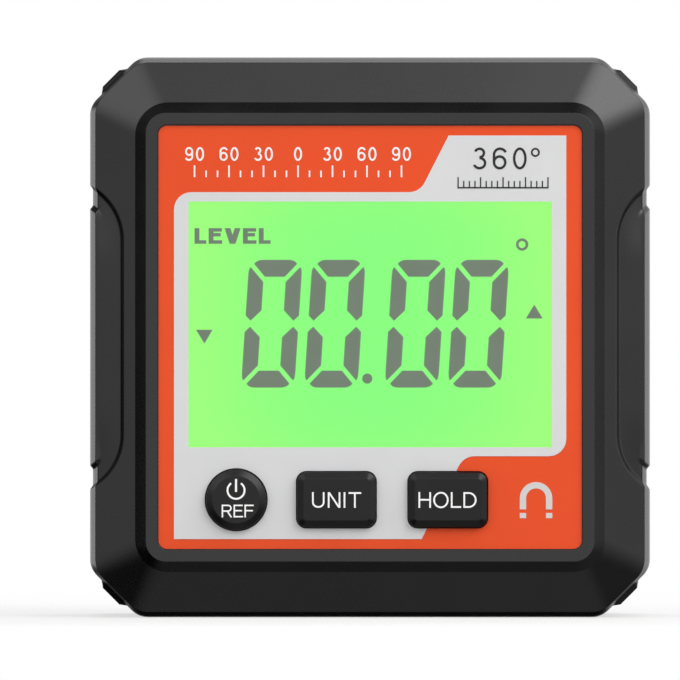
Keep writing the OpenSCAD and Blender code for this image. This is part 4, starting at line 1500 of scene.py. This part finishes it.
@dataclass
class KeyCap:
    """One moulded key: bevelled edge, shaft, flange behind the front wall and stem onto its switch."""

    name: str
    body: Body
    x: float
    width: float
    height: float
    radius: float
    legend: Legend
    row: float = -17.35
    edge: float = 0.68
    tilt: float = 36.0
    face_soft: float = 0.07
    side_soft: float = 0.1
    flange_front: float = 2.55
    flange_back: float = 3.35
    flange_width: float = 0.5
    stem_radius: float = 1.5
    stem_root: float = 0.3
    stem_end: float = 4.75

    def rings(self) -> np.ndarray:
        """Rings of the cap: a flat bevel with parabolic edges, the straight shaft and the flange.

        Returns:
            Rows of depth, width, height, leg and radius.
        """
        tilt = math.radians(self.tilt)
        slope = np.array([-math.cos(tilt), math.sin(tilt)])
        foot = np.array([0.0, self.edge * math.tan(tilt)])
        t = np.linspace(0, 1, 6)[:, None]
        face = np.array([self.edge, 0.0]) + self.face_soft * ((1 - t) ** 2 * [1, 0] + t ** 2 * slope)
        side = foot + self.side_soft * (t ** 2 * [0, 1] - (1 - t) ** 2 * slope)
        bevel = face[-1] + np.array([[0.04], [0.96]]) * (side[0] - face[-1])
        inset, depth = np.concatenate([[face[0] + [0.05, 0]], face, bevel, side]).T
        inset = np.concatenate([inset, [0, 0], 3 * [-self.flange_width]])
        shaft = [KEY_FACE + depth[-1] + 0.05, *(self.flange_front + np.array([-0.02, 0.0, 0.02]))]
        depth = np.concatenate([KEY_FACE + depth, shaft, [self.flange_back]])
        radius = np.maximum(self.radius - inset, 0.3)
        columns = [depth, self.width - 2 * inset, self.height - 2 * inset, ROUND_LEG * radius, radius]
        return np.stack(columns, axis=1)

    def build(self, material: bpy.types.Material, ink: bpy.types.Material) -> None:
        """Builds the cap, its stem and its marks.

        Args:
            material: The cap's material.
            ink: The material of its marks.
        """
        straight = [np.array([]), np.array([0.02, 0.25, 0.5, 0.75, 0.98])]
        rings = self.rings()
        grid = Outline(10, straight * 4).points(rings, self.x, self.row)
        apart = np.linalg.norm(grid - np.roll(grid, -1, axis=1), axis=2).max(axis=0)
        grid = grid[:, apart > 1e-6]
        count = grid.shape[1]
        quads = grid_quads(len(rings), count, False, True)[:, ::-1]
        first, last = np.arange(count), np.arange(count) + count * (len(rings) - 1)
        cap = (grid.reshape(-1, 3), [*quads.tolist(), first.tolist(), last[::-1].tolist()])
        start = (self.x, self.flange_back - self.stem_root - CASE_DEPTH / 2, self.row + CASE_SIDE / 2)
        stem = round_bar(start, self.stem_radius, self.stem_end - self.flange_back + self.stem_root, 1)
        piece = put_mesh(f"{self.name}_cap", *join_solids([cap, stem]))
        seat(piece, material, self.body, "button_black", f"{self.name}_button")
        marks = print_marks(f"{self.name}_marks", self.legend.strokes(), KEY_FACE)
        seat(marks, ink, self.body)


@dataclass
class Keys:
    """The three keys under the display and the switches behind them."""

    finish: MouldedPlastic
    ink: PrintedFilm
    switch: MouldedPlastic
    plunger: MouldedPlastic
    caps: list[KeyCap] = field(default_factory=lambda: [
        KeyCap(
            "power", Body.POWER_KEY, -14.3, 6.45, 6.45, 3.225,
            PowerLegend("REF", -15.84, 3.44, -19.22, 1.36, Lettering(0.115, 0.98)),
        ),
        KeyCap("unit", Body.UNIT_KEY, -3.6, 8.35, 5.85, 0.95, Legend("UNIT", -6.2, 5.24)),
        KeyCap("hold", Body.HOLD_KEY, 8.3, 8.35, 5.85, 0.95, Legend("HOLD", 5.16, 6.2)),
    ])

    def build(self) -> None:
        """Builds the caps and dresses the switches."""
        material, ink = self.finish.material(), self.ink.material()
        for cap in self.caps:
            cap.build(material, ink)
        names = [cap.name for cap in self.caps]
        dress_nodes(self.switch.material(), *(f"{name}_switch" for name in names))
        dress_nodes(self.plunger.material(), *(f"{name}_plunger" for name in names))


# Back and inside


@dataclass
class RearCase:
    """The rear cover, its battery door and the screws that hold the case together."""

    finish: MouldedPlastic
    screws: Metal
    magnets: Metal

    def build(self) -> None:
        """Dresses the nodes."""
        dress_nodes(self.finish.material(), "rear_cover", "battery_door")
        dress_nodes(self.screws.material(), "case_screws")
        dress_nodes(self.magnets.material(), "base_magnets")


@dataclass
class Inside:
    """Board, display carrier and battery bay, as a list of finishes and the nodes that each dresses."""

    rows: tuple[tuple[Finish, tuple[str, ...]], ...] = (
        (MouldedPlastic("holder_white", (0.75, 0.75, 0.72), 0.5), ("lcd_holder",)),
        (ClearPlastic("guide_clear", (0.75, 0.95, 0.7), 0.1, 1.4), ("light_guide",)),
        (PrintedFilm("diode_resin", (0.8, 0.75, 0.45), 0.3), ("backlight_diodes",)),
        (MouldedPlastic("strip_rubber", (0.05, 0.05, 0.07), 0.7), ("connector_strip",)),
        (Board("board_green", (0.01, 0.09, 0.03), (0.03, 0.17, 0.06)), ("main_board",)),
        (MouldedPlastic("chip_black", (0.015, 0.015, 0.017), 0.55), ("tilt_sensor", "controller_chip")),
        (PrintedFilm("component_tan", (0.45, 0.33, 0.16), 0.4), ("board_components",)),
        (CellJacket("cell_jacket", (0.05, 0.08, 0.14), (0.45, 0.46, 0.48), 17.0), (
            "upper_cell", "lower_cell"
        )),
        (Metal("contact_steel", (0.62, 0.6, 0.55), 0.3), (
            "contact_bridge", "contact_positive", "contact_negative", "upper_spring", "lower_spring"
        )),
        (MouldedPlastic("lead_red", (0.5, 0.02, 0.02), 0.4), ("positive_lead",)),
        (MouldedPlastic("lead_black", (0.012, 0.012, 0.012), 0.4), ("negative_lead",)),
        (Metal("screw_bright", (0.6, 0.6, 0.62), 0.25), ("board_screws",)),
    )

    def build(self) -> None:
        """Dresses the nodes."""
        for finish, nodes in self.rows:
            dress_nodes(finish.material(), *nodes)


# Studio


@dataclass(frozen=True)
class Lamp:
    """A round soft box: degrees to the right of the camera's side and above the horizon, and its brightness.

    A white card in its full light has a brightness of 1. Glossy surfaces show it if it is mirrored.
    """

    name: str
    azimuth: float
    elevation: float
    brightness: float
    mirrored: bool


@dataclass(frozen=True)
class Glow:
    """A soft patch of light in the surroundings: its brightness, its direction and the cosine at its rim."""

    brightness: float
    aim: tuple[float, float, float]
    rim: float = 0.80


@dataclass
class Studio:
    """Pale floor, soft lamps and a distant camera straight in front.

    The surroundings are written in the parts of a direction: X to the right, Y away from the camera and Z
    up. A fade or a foot is the pair of such parts between which a light comes or goes.
    """

    form: CaseForm
    camera_distance: float = 1600.0
    frame_width: float = 72.857
    camera_x: float = -3.214
    camera_z: float = 29.71
    sensor: float = 36.0
    lamp_distance: float = 230.0
    lamp_radius: float = 100.0
    lamps: tuple[Lamp, ...] = (Lamp("key_lamp", 44, 46, 1.2, True), Lamp("back_lamp", 180, 66, 3.0, False))
    floor_half: float = 80.0
    floor_front: float = -140.0
    floor_back: float = 420.0
    floor_lift: float = 0.65
    floor_tones: tuple[float, float] = (0.49, 0.51)
    floor_seen: float = 0.76
    floor_glow: float = 1.0
    fade_behind: tuple[float, float] = (0.05, 0.19)
    fade_before: tuple[float, float] = (0.035, 0.075)
    front: float = 0.53
    front_upper: float = 0.24
    front_fade: tuple[float, float] = (-0.44, -0.02)
    front_middle: float = 0.36
    middle_fade: tuple[float, float] = (0.75, 0.98)
    front_foot: tuple[float, float] = (-0.5, -0.08)
    backdrop: float = 1.25
    backdrop_sides: float = 0.14
    backdrop_fade: tuple[float, float] = (0.40, 0.66)
    backdrop_foot: tuple[float, float] = (-0.5, -0.22)
    slant_limit: float = 0.3
    slant_fade: tuple[float, float] = (-0.04, 0.02)
    slant_share: float = 0.6
    dark_gap: float = 0.02
    right_gap: float = 0.20
    corner_gap: float = 0.57
    corner_right: float = 0.42
    glow_core: float = 0.99
    glows: tuple[Glow, ...] = (
        Glow(1.9, (0.60, -0.50, 0.62)),
        Glow(1.0, (-0.60, -0.50, 0.62)),
        Glow(0.32, (0.0, -0.5, -0.87)),
        Glow(0.08, (0.61, -0.5, -0.61)),
        Glow(0.1, (-0.87, -0.5, 0.0)),
        Glow(0.1, (0.0, 0.14, -0.99)),
        Glow(0.14, (0.7, 0.12, -0.7)),
        Glow(0.6, (0.99, -0.14, 0.0), 0.95),
    )

    def camera(self) -> None:
        """Puts the camera in front of the gauge, looking along the depth."""
        data = bpy.data.cameras.new("camera")
        data.sensor_width = self.sensor
        data.lens = self.sensor * self.camera_distance / self.frame_width
        data.clip_start, data.clip_end = 0.05, 20
        camera = bpy.data.objects.new("camera", data)
        rim = self.form.rim_depth - CASE_DEPTH / 2
        camera.location = (self.camera_x * MM, (rim - self.camera_distance) * MM, self.camera_z * MM)
        camera.rotation_euler = (math.pi / 2, 0, 0)
        bpy.context.scene.collection.objects.link(camera)
        bpy.context.scene.camera = camera

    def lamp(self, lamp: Lamp) -> None:
        """Adds a soft box that faces the gauge.

        Args:
            lamp: Its place and brightness.
        """
        data = bpy.data.lights.new(lamp.name, "AREA")
        data.shape, data.size = "DISK", 2 * self.lamp_radius * MM
        data.energy = lamp.brightness * math.pi * math.pi * (self.lamp_radius * MM) ** 2
        made = bpy.data.objects.new(lamp.name, data)
        turn, rise = math.radians(lamp.azimuth), math.radians(lamp.elevation)
        away = self.lamp_distance * MM
        made.location = (
            away * math.cos(rise) * math.sin(turn),
            -away * math.cos(rise) * math.cos(turn),
            away * math.sin(rise) + CASE_SIDE / 2 * MM,
        )
        made.rotation_euler = (math.pi / 2 - rise, 0, turn)
        made.visible_glossy = lamp.mirrored
        bpy.context.scene.collection.objects.link(made)

    def floor(self) -> None:
        """Lays the pale floor. Seen directly it is lifted towards white, and it keeps the gauge's shadow."""
        across = np.linspace(-self.floor_half, self.floor_half, 5)
        x, y = np.meshgrid(across, np.linspace(self.floor_front, self.floor_back, 15), indexing="ij")
        points = np.stack([x.ravel(), y.ravel(), 0 * x.ravel()], axis=1)
        floor = put_mesh("floor", points, grid_quads(*x.shape, False, False)[:, ::-1].tolist())
        floor.visible_glossy = False
        material, recipe = new_material("floor_white")
        seen = recipe.value("ShaderNodeLightPath", None, None, "Is Camera Ray")
        _, depth, _ = recipe.axes()
        far = depth.step(*self.fade_behind).most((-1 * depth).step(*self.fade_before))
        lift = self.floor_lift + (1 - self.floor_lift) * far
        pale = recipe.blend(recipe.noise(40.0), *(3 * (tone,) for tone in self.floor_tones))
        tone = recipe.blend(seen, pale, 3 * (self.floor_seen,))
        matt = recipe.node("ShaderNodeBsdfDiffuse", None, {"Color": tone})
        glow = {"Color": (1.0, 1.0, 1.0), "Strength": self.floor_glow}
        white = recipe.node("ShaderNodeEmission", None, glow)
        mix = {0: seen * lift, 1: matt.outputs[0], 2: white.outputs[0]}
        shader = recipe.node("ShaderNodeMixShader", None, mix)
        recipe.node("ShaderNodeOutputMaterial", None, {"Surface": shader.outputs[0]})
        dress(floor, material)

    def world(self) -> None:
        """Surroundings: white for the camera, else a pale front, a white backdrop and a dark gap between.

        The backdrop is dimmed along its diagonals, most on the left, and the gap is lit a little on the right
        and in the upper corners.
        """
        world = bpy.data.worlds.new("studio")
        world.use_nodes = True
        bpy.context.scene.world = world
        recipe = Recipe(world.node_tree)
        way = recipe.node("ShaderNodeTexCoord").outputs["Generated"]
        split = recipe.node("ShaderNodeSeparateXYZ", None, {0: way})
        x, y, z = (Value(recipe, split.outputs[i]) for i in range(3))
        before, behind = 1 - y.step(*self.front_fade), y.step(*self.backdrop_fade)
        middle = self.front_middle * (-1 * y).step(*self.middle_fade)
        light = before * (self.front + self.front_upper * z.most(0.0)) + middle
        slanted = (abs(x * z) - self.slant_limit * (x * x + z * z)).step(*self.slant_fade)
        slanted = slanted * (self.slant_share - self.slant_share * x)
        white = self.backdrop * (1 + self.backdrop_sides * abs(x)) * behind * (1 - slanted)
        white = white * z.step(*self.backdrop_foot)
        corner = z.most(0.0) * x * x * (self.corner_gap + self.corner_right * x)
        light = light + (1 - before) * (1 - behind) * (self.dark_gap + self.right_gap * x.most(0.0) + corner)
        light = light * z.step(*self.front_foot) + white
        for glow in self.glows:
            pair = {0: way, 1: glow.aim}
            toward = recipe.value("ShaderNodeVectorMath", {"operation": "DOT_PRODUCT"}, pair, "Value")
            light = light + glow.brightness * toward.step(glow.rim, self.glow_core)
        seen = recipe.value("ShaderNodeLightPath", None, None, "Is Camera Ray")
        sky = {"Color": (1.0, 1.0, 1.0), "Strength": seen + (1 - seen) * light}
        shader = recipe.node("ShaderNodeBackground", None, sky)
        recipe.node("ShaderNodeOutputWorld", None, {"Surface": shader.outputs[0]})

    def build(self) -> None:
        """Sets up the whole studio."""
        self.camera()
        self.floor()
        self.world()
        for lamp in self.lamps:
            self.lamp(lamp)
        bpy.context.scene.view_settings.view_transform = "Standard"


def main() -> None:
    """Builds the gauge piece by piece and sets up its studio."""
    logging.basicConfig(level=logging.INFO, format="%(message)s")
    case = MouldedPlastic("case_black", linear("090909"))
    form = CaseForm()
    keys = Keys(
        MouldedPlastic("button_black", linear("0c0c0c"), 0.3, 1.4),
        PrintedFilm("key_white", linear("fafafa"), 0.5),
        MouldedPlastic("switch_black", (0.015, 0.015, 0.016), 0.5),
        MouldedPlastic("plunger_grey", (0.3, 0.3, 0.28), 0.5),
    )
    Studio(form).build()
    FrontHousing(form, case, keys.caps).build()
    FaceLabel(
        PrintedFilm("label_orange", linear("e9532b")),
        PrintedFilm("label_grey", linear("d9d9da")),
        PrintedFilm("print_white", linear("f2f0ee"), 0.55),
        PrintedFilm("print_grey", linear("d6d2cf"), 0.55),
        PrintedFilm("print_dark", linear("333333"), 0.55),
    ).build()
    DisplayUnit(
        LitPanel("lcd_green", linear("86fd7d"), linear("9cff7a")),
        LitInk("lcd_dark", linear("717f6f")),
        ClearPlastic("window_clear", (1.0, 1.0, 1.0)),
    ).build()
    keys.build()
    RearCase(
        case,
        Metal("screw_steel", (0.22, 0.22, 0.24), 0.35),
        Metal("magnet_nickel", (0.6, 0.61, 0.63), 0.22),
    ).build()
    Inside().build()


if __name__ == "__main__":
    main()
